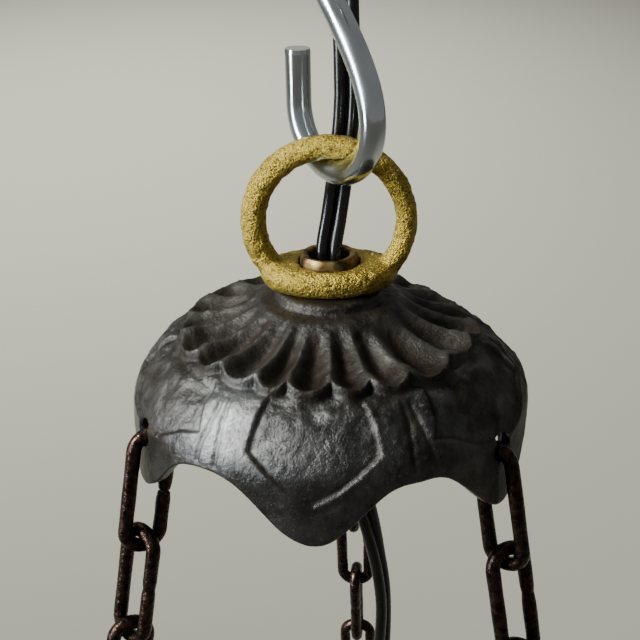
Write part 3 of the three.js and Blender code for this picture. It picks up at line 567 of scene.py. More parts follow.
# Hem: half a round from the outer to the inner face. Inside: the hollow, plain from the hem up to the bore
round_share = np.radians(np.linspace(0, 180, 9))[1:-1, None]
hem_r = np.interp(skirt_end, dome_length, dome[:, 0]) + rise[-1] * out_r[-1]
hem_round_r = hem_r - wall / 2 + wall / 2 * np.cos(round_share)
hem_round_z = outer_z[-1] - 0.35 * np.sin(round_share) ** 0.5
inner_share = np.linspace(0, 1, 8)[:, None]
inner_wall_r = (hem_r - wall) + (33.3 - (hem_r - wall)) * inner_share
inner_wall_z = outer_z[-1] + (np.maximum(-15.2, outer_z[-1]) - outer_z[-1]) * inner_share
roof = smooth_route([(33.2, -14.6), (31.6, -12.9), (29.0, -11.0), (25.5, -8.6), (20, -6.8), (16, -4.6),
                     (11.4, -1.5), (7.5, -1.3), (nipple_hole, -1.3)], 14)[:, :, None]
crown_r = np.concatenate([outer_r, hem_round_r, inner_wall_r, np.repeat(roof[:, 0], around, 1)])
crown_z = np.concatenate([outer_z, hem_round_z, inner_wall_z, np.repeat(roof[:, 1], around, 1)])
crown_rings = round_axis(crown_r, phi, crown_z) / 1000 + crown_zero

# Blackened, oiled cast iron: near black with a satin grey sheen, brown rust and old dirt in the hollows, worn
# thin on the crests, dulled by painted shade on the right skirt, and a painted highlight in one patch at the
# left. The casting grain is about 0.5 mm.
black_iron, shader, place = finish("blackened_cast_iron", {
    "Base Color": "#1c1b19", "IOR": 1.6, "Roughness": 0.32})
hollow_here, crest_here, rough_here, painted_highlight_here = (
    add(black_iron, "Attribute", {}, attribute_name=name).outputs["Fac"]
    for name in ("hollow", "crest", "rough", "painted_highlight"))
# Less shine where hollow is high: dirt in the hollows, painted shade on the right skirt and at the left
dirt_and_shade_dulling = add(black_iron, "MapRange", {"Value": hollow_here, "To Min": 0.68, "To Max": 0.2})
sand = add(black_iron, "TexNoise", {"Vector": place, "Scale": 2000.0, "Detail": 5.0, "Roughness": 0.62})
blotch = add(black_iron, "TexNoise", {"Vector": place, "Scale": 220.0, "Detail": 4.0, "Roughness": 0.6})
rust_share = add(black_iron, "Math", {0: hollow_here, 1: blotch}, operation="MULTIPLY")
rust_amount = add(black_iron, "MapRange", {
    "Value": rust_share, "From Min": 0.12, "From Max": 0.5, "To Min": 0.0, "To Max": 0.9})
rust = add(black_iron, "Mix", {0: sand, 6: "#0a0807", 7: "#2a2117"}, data_type="RGBA")
speck = add(black_iron, "MapRange", {
    "Value": sand, "From Min": 0.6, "From Max": 0.74, "To Min": 0.0, "To Max": 0.7})
speck_here = add(black_iron, "Math", {0: speck, 1: rough_here}, operation="MULTIPLY")
iron = add(black_iron, "Mix", {0: speck_here, 6: "#121110", 7: "#5c5a52"}, data_type="RGBA")
bare = add(black_iron, "Mix", {0: crest_here, 6: iron, 7: "#2b2823"}, data_type="RGBA")
iron_tint = add(black_iron, "Mix", {0: rust_amount, 6: bare, 7: rust}, data_type="RGBA")
# Painted highlight: the patch at the left is mixed towards a light grey, and its shine is raised below
painted_highlight_tint = add(black_iron, "Mix", {0: painted_highlight_here, 6: iron_tint, 7: "#4e5355"}, data_type="RGBA")
dull = add(black_iron, "MapRange", {
    "Value": blotch, "From Min": 0.3, "From Max": 0.7, "To Min": 0.16, "To Max": 0.26})
patchy = add(black_iron, "MapRange", {
    "Value": blotch, "From Min": 0.36, "From Max": 0.6, "To Min": 0.35, "To Max": 1.0})
oiled = add(black_iron, "Math", {0: dirt_and_shade_dulling, 1: patchy}, operation="MULTIPLY")
worn = add(black_iron, "Math", {0: rough_here, 1: 0.16, 2: dull}, operation="MULTIPLY_ADD")
shine = add(black_iron, "Math", {0: painted_highlight_here, 1: 0.8, 2: oiled}, operation="MULTIPLY_ADD")
duller = add(black_iron, "Math", {0: hollow_here, 1: 0.16, 2: worn}, operation="MULTIPLY_ADD")
grain_height = add(black_iron, "Math", {0: sand, 1: rough_here}, operation="MULTIPLY")
bump = add(black_iron, "Bump", {"Height": grain_height, "Strength": 0.9, "Distance": 0.0002})
add(black_iron, shader, {"Base Color": painted_highlight_tint, "Roughness": duller, "Normal": bump,
                         "Specular IOR Level": shine})

crown = skin("crown_casting", crown_rings, black_iron, joined=True, sharp=60.0)
hidden_rows = len(crown_r) - len(outer_r)
for name, field, inside in (("hollow", hollow, 0.4), ("crest", crest, 0.4),
                            ("rough", 0.35 + 0.65 * rough, 0.4), ("painted_highlight", painted_highlight, 0.0)):
    values = np.concatenate([field, np.full((hidden_rows, around), inside)]).ravel()
    crown.data.attributes.new(name, "FLOAT", "POINT").data.foreach_set("value", values)

# Chain holes, drilled straight in through the skirt
chain_turns = {"left": np.radians(-154.5), "right": np.radians(-36.8), "back": np.radians(84.1)}
hole_height, hole_radius = -18.15, 2.4
drills = []
for side, towards in chain_turns.items():
    line = heading(towards) * np.array([[29], [41]]) + (0, 0, hole_height)
    drill = carried(line, circle, (0, 0, 1), hole_radius) / 1000 + crown_zero
    drills.append(skin("drill_" + side, drill, black_iron))


def drilled(piece, drills):
    """Takes the drills' shapes out of a piece, and the drills out of the scene."""
    cut = piece.modifiers.new("holes", "BOOLEAN")
    cut.operation, cut.object, cut.solver = "DIFFERENCE", join(drills), "EXACT"
    settle(piece)
    bpy.data.objects.remove(drills[0])


drilled(crown, drills)
fit(crown, "crown_cap", "crown")

# The chains
# Three chains of ten long links, each bent from 2.6 mm round steel wire and left open at a butt joint in one
# leg. They are bronzed: dark brown with copper where the links have rubbed, and faintly hammered.
link_wire, link_bend, link_straight, link_pitch = 1.3, 3.2, 15.9, 19.4
second_turn = {"left": -64, "right": 64, "back": 90}
link_count = 10
hang_radius, hang_height = 34.6182, -21.9682          # where the first link's upper bend has its middle
eye_radius, chain_length = 69.9, 193.7
chain_lean = np.arcsin((eye_radius - hang_radius) / chain_length)

# Bronzed steel wire: brown-black patina over copper, pitted, with warm rubbed streaks.
bronzed, shader, place = finish("bronzed_steel_wire", {
    "Base Color": "#36261b", "Metallic": 0.9, "Roughness": 0.36})
mottle = add(bronzed, "TexNoise", {"Vector": place, "Scale": 900.0, "Detail": 4.0, "Roughness": 0.6})
mottle_share = add(bronzed, "MapRange", {"Value": mottle, "From Min": 0.4, "From Max": 0.68})
bronze_tint = add(bronzed, "Mix", {0: mottle_share, 6: "#1b1512", 7: "#49362c"}, data_type="RGBA")
dents = add(bronzed, "TexNoise", {"Vector": place, "Scale": 1500.0, "Detail": 2.0})
gloss = add(bronzed, "MapRange", {
    "Value": dents, "From Min": 0.3, "From Max": 0.7, "To Min": 0.2, "To Max": 0.4})
bump = add(bronzed, "Bump", {"Height": dents, "Strength": 0.7, "Distance": 0.00022})
add(bronzed, shader, {"Base Color": bronze_tint, "Roughness": gloss, "Normal": bump})

link_circle = round_outline(16)
draw = np.random.default_rng(5)


def link_line(gap, joint):
    """The middle of a link's wire: two half rounds joined by straight legs, walked once round from one side
    of the joint in the right leg to the other. Gap is the joint's opening, joint its height on the leg."""
    half = link_straight / 2
    return np.concatenate([
        straight(link_bend, joint + gap / 2, half - 0.4, 10), arc(0, half, link_bend, 0, 180, 22),
        straight(-link_bend, half - 0.5, -half + 0.5, 16), arc(0, -half, link_bend, 180, 360, 22),
        straight(link_bend, -half + 0.4, joint - gap / 2, 10)])


for side, towards in chain_turns.items():
    outward, sideways = heading(towards), heading(towards + np.pi / 2)
    hang = outward * np.sin(chain_lean) - np.array([0, 0, np.cos(chain_lean)])
    square = outward * np.cos(chain_lean) + (0, 0, np.sin(chain_lean))
    for i in range(link_count):
        shown = side == "left" and i == 0                 # the one link whose joint is copied
        twist = np.radians(0 if i % 2 == 0 else (second_turn[side] if i == 1 else 90))
        middle = hang_radius * outward + (0, 0, hang_height) + hang * (link_straight / 2 + link_pitch * i)
        wide = square * np.cos(twist) + sideways * np.sin(twist)
        thick = np.cross(wide, hang)
        open_by = 0.9 if shown else draw.uniform(0.08, 0.2)
        flip = -1 if shown or draw.random() < 0.5 else 1
        flat = link_line(open_by, -0.3 if shown else draw.uniform(0.5, 2.5))
        line = middle + flip * flat[:, :1] * wide - flat[:, 1:] * hang
        gone = np.linspace(0, 1, len(line))
        tips = np.clip(0.86 + np.minimum(gone, 1 - gone) / 0.02 * 0.14, 0.86, 1)
        dent = 1 + 0.02 * np.sin(gone * draw.uniform(30, 60) + draw.uniform(0, 6))
        wire = carried(line, link_circle, thick, link_wire * tips * dent) / 1000 + crown_zero
        link = skin(f"{side}_chain_link_{i + 1:02d}", wire, bronzed)
        fit(link, f"{side}_link_{i + 1:02d}", f"{side}_chain")

# The crown's washer and lock nut
# Under the crown a plated steel washer and a brass hexagon nut clamp the nipple. Both edges of the nut are
# chamfered, and its bore turns on the nipple's thread.
washer_rows = [(nipple_hole, -1.7), (5.6, -1.6), (9.7, -1.6), (10, -1.85), (10, -2.55), (9.7, -2.8),
               (5.6, -2.8), (nipple_hole, -2.7)]
crown_washer = skin("crown_washer_plate", lathed(washer_rows), zinc_plate, joined=True, sharp=30.0)
fit(crown_washer, "crown_washer", "crown")


def nut_profile(bore, flats, low, high):
    """The side of a hexagon nut: flat faces, chamfered down to the flats' width, and a bore."""
    corner = flats / np.sqrt(3)
    bevel = (corner - flats / 2) * 0.6
    return [(bore, high - 0.3), (bore + 0.3, high), (flats / 2 * 0.97, high), (corner, high - bevel),
            (corner, low + bevel), (flats / 2 * 0.97, low), (bore + 0.3, low), (bore, low + 0.3)]


nut_rings = lathed(nut_profile(nipple_hole, 15, -6.6, -3.1), flats=15)
crown_nut = skin("crown_lock_nut", nut_rings, old_brass, joined=True, sharp=25.0)
fit(crown_nut, "crown_locknut", "crown")

# The ceiling plate
# Pressed and turned steel, painted warm white: a disc with a boss for the hook, two countersunk screw holes
# and a hole for the flex's gland. It is screwed to the ceiling.
ceiling, gland_place, plate_screw = np.zeros(3), np.array([0.0015, 0.016, 0]), 0.022

# Semi-gloss stove enamel with a faint orange peel.
white_enamel, shader, place = finish("warm_white_enamel", {
    "Base Color": "#e9e6dc", "Roughness": 0.32, "Coat Weight": 0.4})
peel = add(white_enamel, "TexNoise", {"Vector": place, "Scale": 700.0, "Detail": 2.0})
bump = add(white_enamel, "Bump", {"Height": peel, "Strength": 0.2, "Distance": 0.0001})
add(white_enamel, shader, {"Normal": bump})

plate_profile = [(30.2, 0), (30.8, -0.3), (31, -0.9), (31, -2.0), (30.7, -2.6), (29.8, -3), (8.0, -3),
                 (7.4, -3.35), (7.05, -4.2), (7, -6), (7, -11.2), (6.7, -11.8), (6, -12), (3.2, -12),
                 (2.8, -11.7), (2.8, -4.2)]
ceiling_plate = skin("ceiling_plate_enamelled", lathed(plate_profile, at=ceiling), white_enamel, sharp=50.0)
plate_drills = []
for side in (-1, 1):
    sink = lathed([(2.3, 1), (2.3, -0.9), (4.6, -3.2)], 32, at=np.array([side * plate_screw, 0, 0]))
    plate_drills.append(skin(f"plate_drill_{side}", sink, white_enamel))
plate_drills.append(skin("gland_drill", lathed([(5.2, 1), (5.2, -12.5)], 48, at=gland_place), white_enamel))
drilled(ceiling_plate, plate_drills)
ceiling_plate.data.shade_smooth()
ceiling_plate.data.set_sharp_from_angle(angle=np.radians(30))
fit(ceiling_plate, "ceiling_plate", "ceiling_mount")

# The ceiling hook
# Plated steel wire 5 mm thick with a rolled thread at the top, screwed into the plate's boss. Its bend stays
# open at the side, so that the S-hook can be hung in, and stands square to the S-hook.
ceiling_wire = 0.0025
hook_stations = np.concatenate([[(0, -4.5), (0, -8), (0, -12), (0, -16), (0, -19)],
                                arc(0, -33, 8, 52, -210, 70)])
hook_drawing = smooth_route(hook_stations, 560)
facing_across = hook_facing - np.pi / 2
line = (hook_drawing[:, :1] * heading(facing_across) + hook_drawing[:, 1:] * (0, 0, 1)) / 1000
gone = np.linspace(0, 1, len(line))
thread = 0.05 * (1 - np.cos(2 * np.pi * hook_drawing[:, 1] / 0.8)) * (hook_drawing[:, 1] > -17.6)
hook_girth = ceiling_wire * (1 - thread) * np.clip(0.85 + np.minimum(gone, 1 - gone) / 0.01 * 0.15, 0.85, 1)
ceiling_hook = skin("ceiling_hook_wire", carried(line, circle, heading(hook_facing), hook_girth),
                    zinc_plate)
fit(ceiling_hook, "ceiling_hook", "ceiling_mount")

nut_rings = lathed(nut_profile(2.8, 10, -16.3, -12.3), at=ceiling, flats=10)
hook_nut = skin("hook_lock_nut", nut_rings, zinc_plate, joined=True, sharp=25.0)
fit(hook_nut, "hook_locknut", "ceiling_mount")

# The cord gland
# Black nylon: a threaded bush with a hexagon flange through the plate, and a ribbed cap nut under it that
# grips the flex.

# Moulded nylon: deep black, satin, with a trace of flow lines.
black_nylon, shader, place = finish("moulded_black_nylon", {
    "Base Color": "#17171a", "Roughness": 0.42, "IOR": 1.53})
flow = add(black_nylon, "TexNoise", {"Vector": place, "Scale": 260.0, "Detail": 3.0})
flow_gloss = add(black_nylon, "MapRange", {"Value": flow, "To Min": 0.36, "To Max": 0.5})
add(black_nylon, shader, {"Roughness": flow_gloss})


def thread_rows(radius, depth, pitch, low, high):
    """The side of a threaded rod, from high to low: radius - depth (1 - cos(2 pi z / pitch)) / 2."""
    z = np.linspace(high, low, int((high - low) / pitch * 8) + 1)
    return np.stack([radius - depth * (0.5 - 0.5 * np.cos(2 * np.pi * z / pitch)), z], 1)


gland_profile = np.concatenate([[(2.9, -0.6), (3.2, -0.4), (4.6, -0.4)],
                                thread_rows(4.9, 0.4, 1.0, -3.2, -0.7),
                                [(6.2, -3.3), (7.4, -3.7), (7.4, -6.4), (6.2, -6.8), (3.2, -6.8),
                                 (2.9, -6.5)]])
gland_rings = lathed(gland_profile, at=gland_place, flats=13)
gland = skin("cord_gland_nylon", gland_rings, black_nylon, joined=True, sharp=35.0)
fit(gland, "cord_gland", "ceiling_mount")

cap_profile = np.array([(2.9, -7.4), (3.2, -7.1), (6.4, -7.1), (6.9, -7.5), (7.0, -8.2), (7.0, -11.8),
                        (6.6, -12.9), (5.6, -15.2), (5.0, -16.0), (3.3, -16.1), (2.9, -15.8)])
ribs = 0.28 * np.abs(np.sin(9 * once_round(144))) - 0.28
ribbed = ((cap_profile[:, 0] > 6.5) & (cap_profile[:, 1] < -7.4))[:, None] * ribs
gland_cap = skin("gland_cap_nut", lathed(cap_profile, 144, ribbed, gland_place), black_nylon, joined=True,
                 sharp=50.0)
fit(gland_cap, "gland_nut", "ceiling_mount")

# The gallery ring
# A flat bronzed brass ring under the glass lip, with three ears that the chains' last links pass through and
# three holes for the bridge's screws. The edges are rounded by tumbling.
eye_height, ear_half, ear_rise, ear_drop = -213.22, 4.5, 1.4, 6.4
screw_radius, screw_hole = 68.5, 1.8
arm_turns = [lobe_turn + k * 2 * np.pi / 3 for k in range(3)]

gallery_profile = [(61.1, -218.42), (72.4, -218.42), (72.85, -218.6), (73, -219.1), (73, -220.8),
                   (72.85, -221.25), (72.4, -221.42), (61.1, -221.42), (60.65, -221.25), (60.5, -220.8),
                   (60.5, -219.1), (60.65, -218.6)]
gallery_parts = [skin("gallery_ring_bronzed", lathed(gallery_profile, 160), bronzed, joined=True,
                      sharp=60.0)]


def screw_spots(angle):
    """A place for a piece at a bridge screw: the crown's zero, moved out to the screws' circle."""
    return crown_zero + heading(angle) * screw_radius / 1000


gallery_drills = []
for k, angle in enumerate(arm_turns):
    drill = lathed([(screw_hole, -212), (screw_hole, -223)], 32, at=screw_spots(angle))
    gallery_drills.append(skin(f"gallery_drill_{k}", drill, bronzed))
drilled(gallery_parts[0], gallery_drills)

# The ears: a half round over an upright block, eight outlines from face to face with the edges and the eye
a = once_round(64)
side_reach = ear_half / np.maximum(np.abs(np.cos(a)), 1e-6)
ear_low = np.where(np.sin(a) < 0, ear_drop / np.maximum(-np.sin(a), 1e-6), 99)
ear_arc = ear_rise * np.sin(a) + np.sqrt(ear_half ** 2 - (ear_rise * np.cos(a)) ** 2)
reach = np.where(side_reach * np.sin(a) > ear_rise, ear_arc, np.minimum(side_reach, ear_low))
for side, towards in chain_turns.items():
    outward, sideways = heading(towards), heading(towards + np.pi / 2)
    rows = []
    for edge, y in ((reach - 0.3, -1), (reach, -0.7), (reach, 0.7), (reach - 0.3, 1), (3.2, 1), (2.9, 0.7),
                    (2.9, -0.7), (3.2, -1)):
        rows.append((eye_radius + edge * np.cos(a))[:, None] * outward + y * sideways
                    + (eye_height + edge * np.sin(a))[:, None] * np.array([0, 0, 1]))
    ear = np.array(rows) / 1000 + crown_zero
    gallery_parts.append(skin("gallery_ear_" + side, ear, bronzed, joined=True, sharp=60.0))
gallery_ring = join(gallery_parts)
fit(gallery_ring, "gallery_ring", "glass_holder")

# The bridge
# Bronzed brass: a round hub that carries the lampholder and three flat arms over the glass lip, each with a
# foot block that is screwed down on the gallery ring.
arm_width = 10


def bar(name, start, end, across, width, depth, material):
    """A bar with rounded corners: each side point lies at the fourth root of cos and sin, ends drawn in."""
    outline = np.sign(circle) * np.abs(circle) ** 0.25 * (width / 2, depth / 2)
    share = np.array([0, 0.004, 0.012, 0.03, 0.5, 0.97, 0.988, 0.996, 1])[:, None]
    line = np.asarray(start, float) * (1 - share) + np.asarray(end, float) * share
    drawn_in = np.array([0.9, 0.96, 0.99, 1, 1, 1, 0.99, 0.96, 0.9])
    return skin(name, carried(line, outline, across, drawn_in) / 1000 + crown_zero, material, sharp=60.0)


hub_profile = [(5.3, -212.7), (5.6, -212.42), (12.5, -212.42), (13, -212.8), (13, -214.2), (12.5, -214.62),
               (5.6, -214.62), (5.3, -214.3)]
bridge_parts = [skin("lamp_bridge_bronzed", lathed(hub_profile), bronzed, joined=True, sharp=60.0)]
for k, angle in enumerate(arm_turns):
    out, across = heading(angle), heading(angle + np.pi / 2)
    level, upper, lower = (0, 0, -213.52), (0, 0, -213), (0, 0, -218.12)
    at_screw = screw_radius * out
    for part in (bar(f"bridge_arm_{k}", 7 * out + level, 71 * out + level, across, arm_width, 2.2, bronzed),
                 bar(f"bridge_foot_{k}", at_screw + upper, at_screw + lower, across, arm_width, 5,
                     bronzed)):
        drill = lathed([(screw_hole, -211), (screw_hole, -219)], 32, at=screw_spots(angle))
        drilled(part, [skin("bridge_drill", drill, bronzed)])
        bridge_parts.append(part)
lamp_bridge = join(bridge_parts)
fit(lamp_bridge, "lamp_bridge", "glass_holder")

# Brass screws with a round slotted head and a rolled thread, one through each arm's foot into the ring
for k, angle in enumerate(arm_turns):
    head = [(0.01, -210.32), (0.9, -210.36), (1.7, -210.6), (2.35, -211.1), (2.68, -211.7), (2.7, -212.0),
            (2.6, -212.12), (1.55, -212.12)]
    rows = np.concatenate([head, thread_rows(1.5, 0.25, 0.7, -220.2, -212.4),
                           [(0.9, -220.52), (0.01, -220.52)]])
    screw = skin(f"bridge_screw_brass_{k + 1}", lathed(rows, 32, at=screw_spots(angle)), old_brass,
                 sharp=50.0)
    slot_way = heading(angle + 0.7 + k)
    middle = (screw_spots(angle) - crown_zero) * 1000 + (0, 0, -210.4)
    slot_cut = bar(f"slot_{k}", middle - 4 * slot_way, middle + 4 * slot_way, np.cross(slot_way, (0, 0, 1)),
                   0.7, 1.5, old_brass)
    drilled(screw, [slot_cut])
    fit(screw, f"bridge_screw_{k + 1}", "glass_holder")

# The lampholder's nipple, nut and cord bush
# A threaded brass tube stands in the hub and holds the lampholder's cap below; a brass nut locks it. A black
# nylon bush on top keeps its rim off the flex.
tube_rows = np.concatenate([[(3.5, -200.7), (3.7, -200.42), (4.6, -200.42)],
                            thread_rows(5, 0.45, 1.0, -221.6, -200.7),
                            [(4.6, -221.92), (3.7, -221.92), (3.5, -221.6)]])
holder_nipple = skin("holder_nipple_tube", lathed(tube_rows, 64), old_brass, joined=True, sharp=60.0)
nut_rings = lathed(nut_profile(5.3, 14, -212.12, -208.62), flats=14)
bridge_nut = skin("bridge_lock_nut", nut_rings, old_brass, joined=True, sharp=25.0)
bush_profile = [(5.3, -208.1), (5.5, -208.32), (6.7, -208.32), (7, -208.0), (7, -200.9), (6.7, -200.0),
                (5.6, -197.2), (4.75, -195.1), (4.3, -194.5), (3.9, -194.32), (3.3, -194.32), (2.9, -194.7),
                (2.9, -200.12), (5.3, -200.12)]
cord_bush = skin("cord_bush_nylon", lathed(bush_profile), black_nylon, joined=True, sharp=50.0)
fit(holder_nipple, "holder_nipple", "glass_holder")
fit(bridge_nut, "bridge_nut", "glass_holder")
fit(cord_bush, "cord_bush", "glass_holder")

# The lampholder
# Spun brass cap and shell of an E14 holder, with turned grooves. Inside are a porcelain core, a screw socket
# of thin pressed brass and a sprung contact in the middle.
screw_pitch = 2.8

# Lacquered spun brass: yellow metal with fine turned rings and a few cloudy spots.
spun_brass, shader, place = finish("lacquered_spun_brass", {
    "Base Color": "#c9a25e", "Metallic": 1.0, "Roughness": 0.26})
stretched = add(spun_brass, "Mapping", {"Vector": place, "Scale": (0.03, 0.03, 1.0)})
turned_rings = add(spun_brass, "TexNoise", {"Vector": stretched, "Scale": 5200.0, "Detail": 2.0})
spots_on = add(spun_brass, "TexNoise", {"Vector": place, "Scale": 190.0, "Detail": 3.0})
cloudy = add(spun_brass, "MapRange", {
    "Value": spots_on, "From Min": 0.35, "From Max": 0.7, "To Min": 0.2, "To Max": 0.38})
bump = add(spun_brass, "Bump", {"Height": turned_rings, "Strength": 0.25, "Distance": 0.00004})
add(spun_brass, shader, {"Roughness": cloudy, "Normal": bump})

# Porcelain: white, unglazed, faintly grainy.
porcelain, shader, place = finish("unglazed_porcelain", {"Base Color": "#ebe6da", "Roughness": 0.5})
kiln = add(porcelain, "TexNoise", {"Vector": place, "Scale": 1200.0, "Detail": 3.0})
bump = add(porcelain, "Bump", {"Height": kiln, "Strength": 0.3, "Distance": 0.00006})
add(porcelain, shader, {"Normal": bump})

cap_outside = smooth_route([(7.9, -214.92), (8.6, -215.3), (9.1, -217.2), (9.9, -220.0), (11.6, -222.3),
                            (13.4, -224.0), (13.95, -225.2), (14, -226.9)], 28)
cap_rows = np.concatenate([[(5.3, -215.2), (5.6, -214.92)], cap_outside,
                           [(13, -226.92), (13, -224.92), (9.6, -222.92), (7.7, -220.92), (5.3, -220.92)]])
shell_rows = [(13.7, -227.22), (14, -227.5), (14, -229.0), (13.6, -229.3), (14, -229.7), (14, -231),
              (13.6, -231.3), (14, -231.7), (14, -241.9), (13.75, -242.9), (13.4, -243.6), (13.4, -267.6),
              (13.75, -268.5), (14, -269.2), (14, -270.0), (13.8, -270.22), (12.6, -270.22), (12.4, -270.0),
              (12.4, -244.2), (13, -242.7), (13, -227.5), (13.2, -227.22)]
core_rows = [(2.6, -228.6), (3.0, -228.22), (11.6, -228.22), (12.4, -229.0), (12.4, -239.4),
             (11.8, -240.22), (3.0, -240.22), (2.6, -239.8)]
contact_rows = [(0.01, -244.72), (1.2, -244.72), (1.8, -244.4), (2.25, -243.0), (2.3, -242.4),
                (2.3, -227.6), (2.0, -227.22), (0.01, -227.22)]
socket_rows = np.concatenate([
    [(3.6, -240.6), (3.8, -240.52), (7.2, -240.52), (7.5, -240.8)], straight(7.6, -241.6, -259.6, 100),
    [(7.6, -260.5), (7.2, -260.5)], straight(7.2, -259.6, -241.6, 100), [(7.0, -241.3), (3.6, -241.3)]])


def helix(rows, depth, low, high, around=64):
    """The screw thread's change of radius: depth (sin(2 pi z / pitch - turn) - 1) / 2 between two heights."""
    z = np.asarray(rows, float)[:, 1:]
    swell = depth / 2 * (np.sin(2 * np.pi * z / screw_pitch - once_round(around)) - 1)
    return swell * soft_step(z - low - 0.6, 1.2) * soft_step(high - 0.6 - z, 1.2)


for name, node, rows, material, slot_name, around, joined, wobble in (
        ("holder_cap_spun", "holder_cap", cap_rows, spun_brass, "aged_brass", 96, True, 0.0),
        ("holder_shell_spun", "holder_shell", shell_rows, spun_brass, "aged_brass", 96, True, 0.0),
        ("holder_core_porcelain", "holder_core", core_rows, porcelain, "porcelain", 96, True, 0.0),
        ("centre_contact_brass", "centre_contact", contact_rows, spun_brass, "aged_brass", 48, False, 0.0),
        ("contact_shell_pressed", "contact_shell", socket_rows, spun_brass, "aged_brass", 64, True,
         helix(socket_rows, 0.6, -259.4, -242.0))):
    piece = skin(name, lathed(rows, around, wobble), material, joined=joined, sharp=50.0)
    fit(piece, node, "glass_holder")

# The bulb
# A small golf-ball bulb: plated screw cap with a solder tip, and a glass ball frosted on the inside.
ball_radius, ball_middle, bulb_wall = 22.48, -300.52, 0.9
cap_rows = np.concatenate([[(0.01, -245.04), (1.4, -245.1), (2.2, -245.4), (2.6, -246.0), (4.2, -246.7),
                            (6.2, -247.2)], straight(6.8, -247.6, -259.6, 90),
                           [(6.4, -260.4), (6.7, -261.2), (6.75, -261.9), (6.5, -262.02), (0.01, -262.02)]])
bulb_cap = skin("bulb_cap_plated", lathed(cap_rows, 64, helix(cap_rows, 0.7, -260.2, -247.4)), zinc_plate,
                sharp=50.0)
fit(bulb_cap, "bulb_cap", "glass_holder")

# Glass, frosted on the inside by etching: milky, lets light through softly.
frosted, shader, place = finish("frosted_bulb_glass", {
    "Base Color": "#f4f3ee", "Roughness": 0.38, "IOR": 1.5, "Transmission Weight": 0.55})
etch = add(frosted, "TexNoise", {"Vector": place, "Scale": 90.0, "Detail": 2.0})
etch_gloss = add(frosted, "MapRange", {"Value": etch, "To Min": 0.3, "To Max": 0.46})
add(frosted, shader, {"Roughness": etch_gloss})


def inner_side(line, wall):
    """The line moved inwards by the wall's thickness, square to its own slope."""
    slope = np.gradient(line, axis=0)
    return line + wall * unit(np.stack([-slope[:, 1], slope[:, 0]], 1))


ball = arc(0, ball_middle, ball_radius, -89.6, 46, 50)
neck = smooth_route([ball[-1], (11.6, -279.6), (9.2, -273.5), (8.4, -268.3), (7.9, -265), (6.4, -262.35)],
                    30)[1:]
outside = np.concatenate([ball, neck])
inside = np.maximum(inner_side(outside, bulb_wall), (0.05, -999))[::-1]
bulb_glass = skin("bulb_glass_frosted", lathed(np.concatenate([outside, inside]), 64), frosted, sharp=80.0)
fit(bulb_glass, "bulb_glass", "glass_holder")

# The glass bowl
# Blown clear glass with a ground lip that lies on the gallery ring, a waist, a full body and a drop foot. It
# is faintly green and a little uneven, with small seeds in the wall.
lip_low, lip_high, glass_wall, body_radius, body_depth = -218.12, -214.92, 2.8, 58, 152
# The outline from the drop foot up: (share of the body's radius, share of its depth)
shares = [(0.0, 1.0), (0.045, 0.998), (0.085, 0.988), (0.12, 0.966), (0.1, 0.93), (0.147, 0.9),
          (0.414, 0.865), (0.69, 0.783), (0.905, 0.651), (0.998, 0.5), (0.976, 0.355), (0.897, 0.237),
          (0.885, 0.145), (0.941, 0.066)]
bowl_stations = [(body_radius * r, lip_low - body_depth * d) for r, d in shares] + [(60.1, lip_low)]
bowl_line = smooth_route(bowl_stations, 150)
bowl_line = np.maximum(bowl_line, (0.02, -999))
off_floor = np.abs(bowl_line[:, 1] - (lip_low - body_depth * 0.885))
floor_from = int(np.argmin(off_floor + 9 * (bowl_line[:, 0] < 9)))
bowl_inside = inner_side(bowl_line, glass_wall)[floor_from:]
lip_rows = [(63.6, lip_low), (64.5, lip_low + 0.6), (64.8, -216.5), (64.5, lip_high - 0.6), (63.6, lip_high),
            (60.2, lip_high), (58.2, lip_high - 0.4)]
floor_rows = [(bowl_inside[0, 0] * 0.5, bowl_inside[0, 1] - 0.3), (0.02, bowl_inside[0, 1] - 0.4)]
bowl_rows = np.concatenate([bowl_line, lip_rows, bowl_inside[::-1], floor_rows])
blown = 0.12 * np.sin(2 * once_round(128) + 0.6) * np.clip((lip_low - 6 - bowl_rows[:, 1:]) / 40, 0, 1)

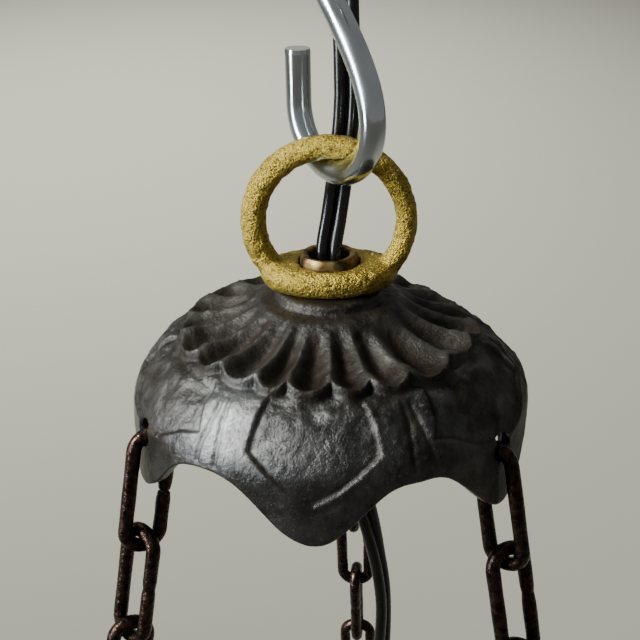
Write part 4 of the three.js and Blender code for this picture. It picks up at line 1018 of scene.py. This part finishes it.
# Clear soda glass: faintly green, glossy, with slow ripples from blowing and a few seeds.
clear_glass, shader, place = finish("clear_blown_glass", {
    "Base Color": "#eef6ef", "Roughness": 0.02, "IOR": 1.52, "Transmission Weight": 1.0})
drawn = add(clear_glass, "Mapping", {"Vector": place, "Scale": (1.0, 1.0, 0.4)})
wavy = add(clear_glass, "TexNoise", {"Vector": drawn, "Scale": 60.0, "Detail": 1.0})
seeds = add(clear_glass, "TexVoronoi", {"Vector": place, "Scale": 160.0})
seed_here = add(clear_glass, "MapRange", {
    "Value": seeds.outputs["Distance"], "From Min": 0.05, "From Max": 0.09, "To Min": 1.0, "To Max": 0.0})
surface = add(clear_glass, "Math", {0: wavy, 1: seed_here}, operation="ADD")
bump = add(clear_glass, "Bump", {"Height": surface, "Strength": 0.35, "Distance": 0.0003})
add(clear_glass, shader, {"Normal": bump})

glass_bowl = skin("glass_bowl_blown", lathed(bowl_rows, 128, blown), clear_glass, sharp=50.0)
fit(glass_bowl, "glass_bowl", "glass_holder")

# The floor and the lights
# A plain pale floor far under the lamp. A tall narrow window at the left draws the bright streaks, a small
# skylight over it fills in, a wide lamp brightens the floor behind, and the room gives a faint even light.
floor_mesh = bpy.data.meshes.new("floor")
floor_mesh.from_pydata([(-9, -9, -1.5), (9, -9, -1.5), (9, 16, -1.5), (-9, 16, -1.5)], [], [(0, 1, 2, 3)])
floor = bpy.data.objects.new("floor", floor_mesh)
bpy.context.scene.collection.objects.link(floor)
floor_mesh.materials.append(finish("pale_matt_paint", {"Base Color": "#c9c6bd", "Roughness": 0.9})[0])

world = bpy.data.worlds.new("room")
bpy.context.scene.world = world
world.use_nodes = True
world.node_tree.nodes["Background"].inputs["Color"].default_value = linear("#c8c8c4")
world.node_tree.nodes["Background"].inputs["Strength"].default_value = 0.36

for name, spot, aim, width, height_of, power, colour, spread in (
        ("window", (-1.1, -0.5, 0.12), (0, 0, -0.12), 0.24, 1.1, 8.0, "#f1f7fb", 90),
        ("floor_light", (-1.2, 5.2, 4.0), (-1.2, 5.2, 0), 4.5, 7.0, 195.0, "#fcffef", 84),
        ("skylight", (-1.05, -0.25, 0.6), (0, 0, -0.12), 0.4, 0.4, 5.5, "#fbfbf2", 70)):
    light = bpy.data.objects.new(name, bpy.data.lights.new(name, "AREA"))
    light.data.shape, light.data.size, light.data.size_y = "RECTANGLE", width, height_of
    light.data.energy, light.data.color = power, linear(colour)[:3]
    light.data.spread = np.radians(spread)
    light.location = spot
    light.rotation_euler = (Vector(spot) - Vector(aim)).to_track_quat("Z", "Y").to_euler()
    bpy.context.scene.collection.objects.link(light)
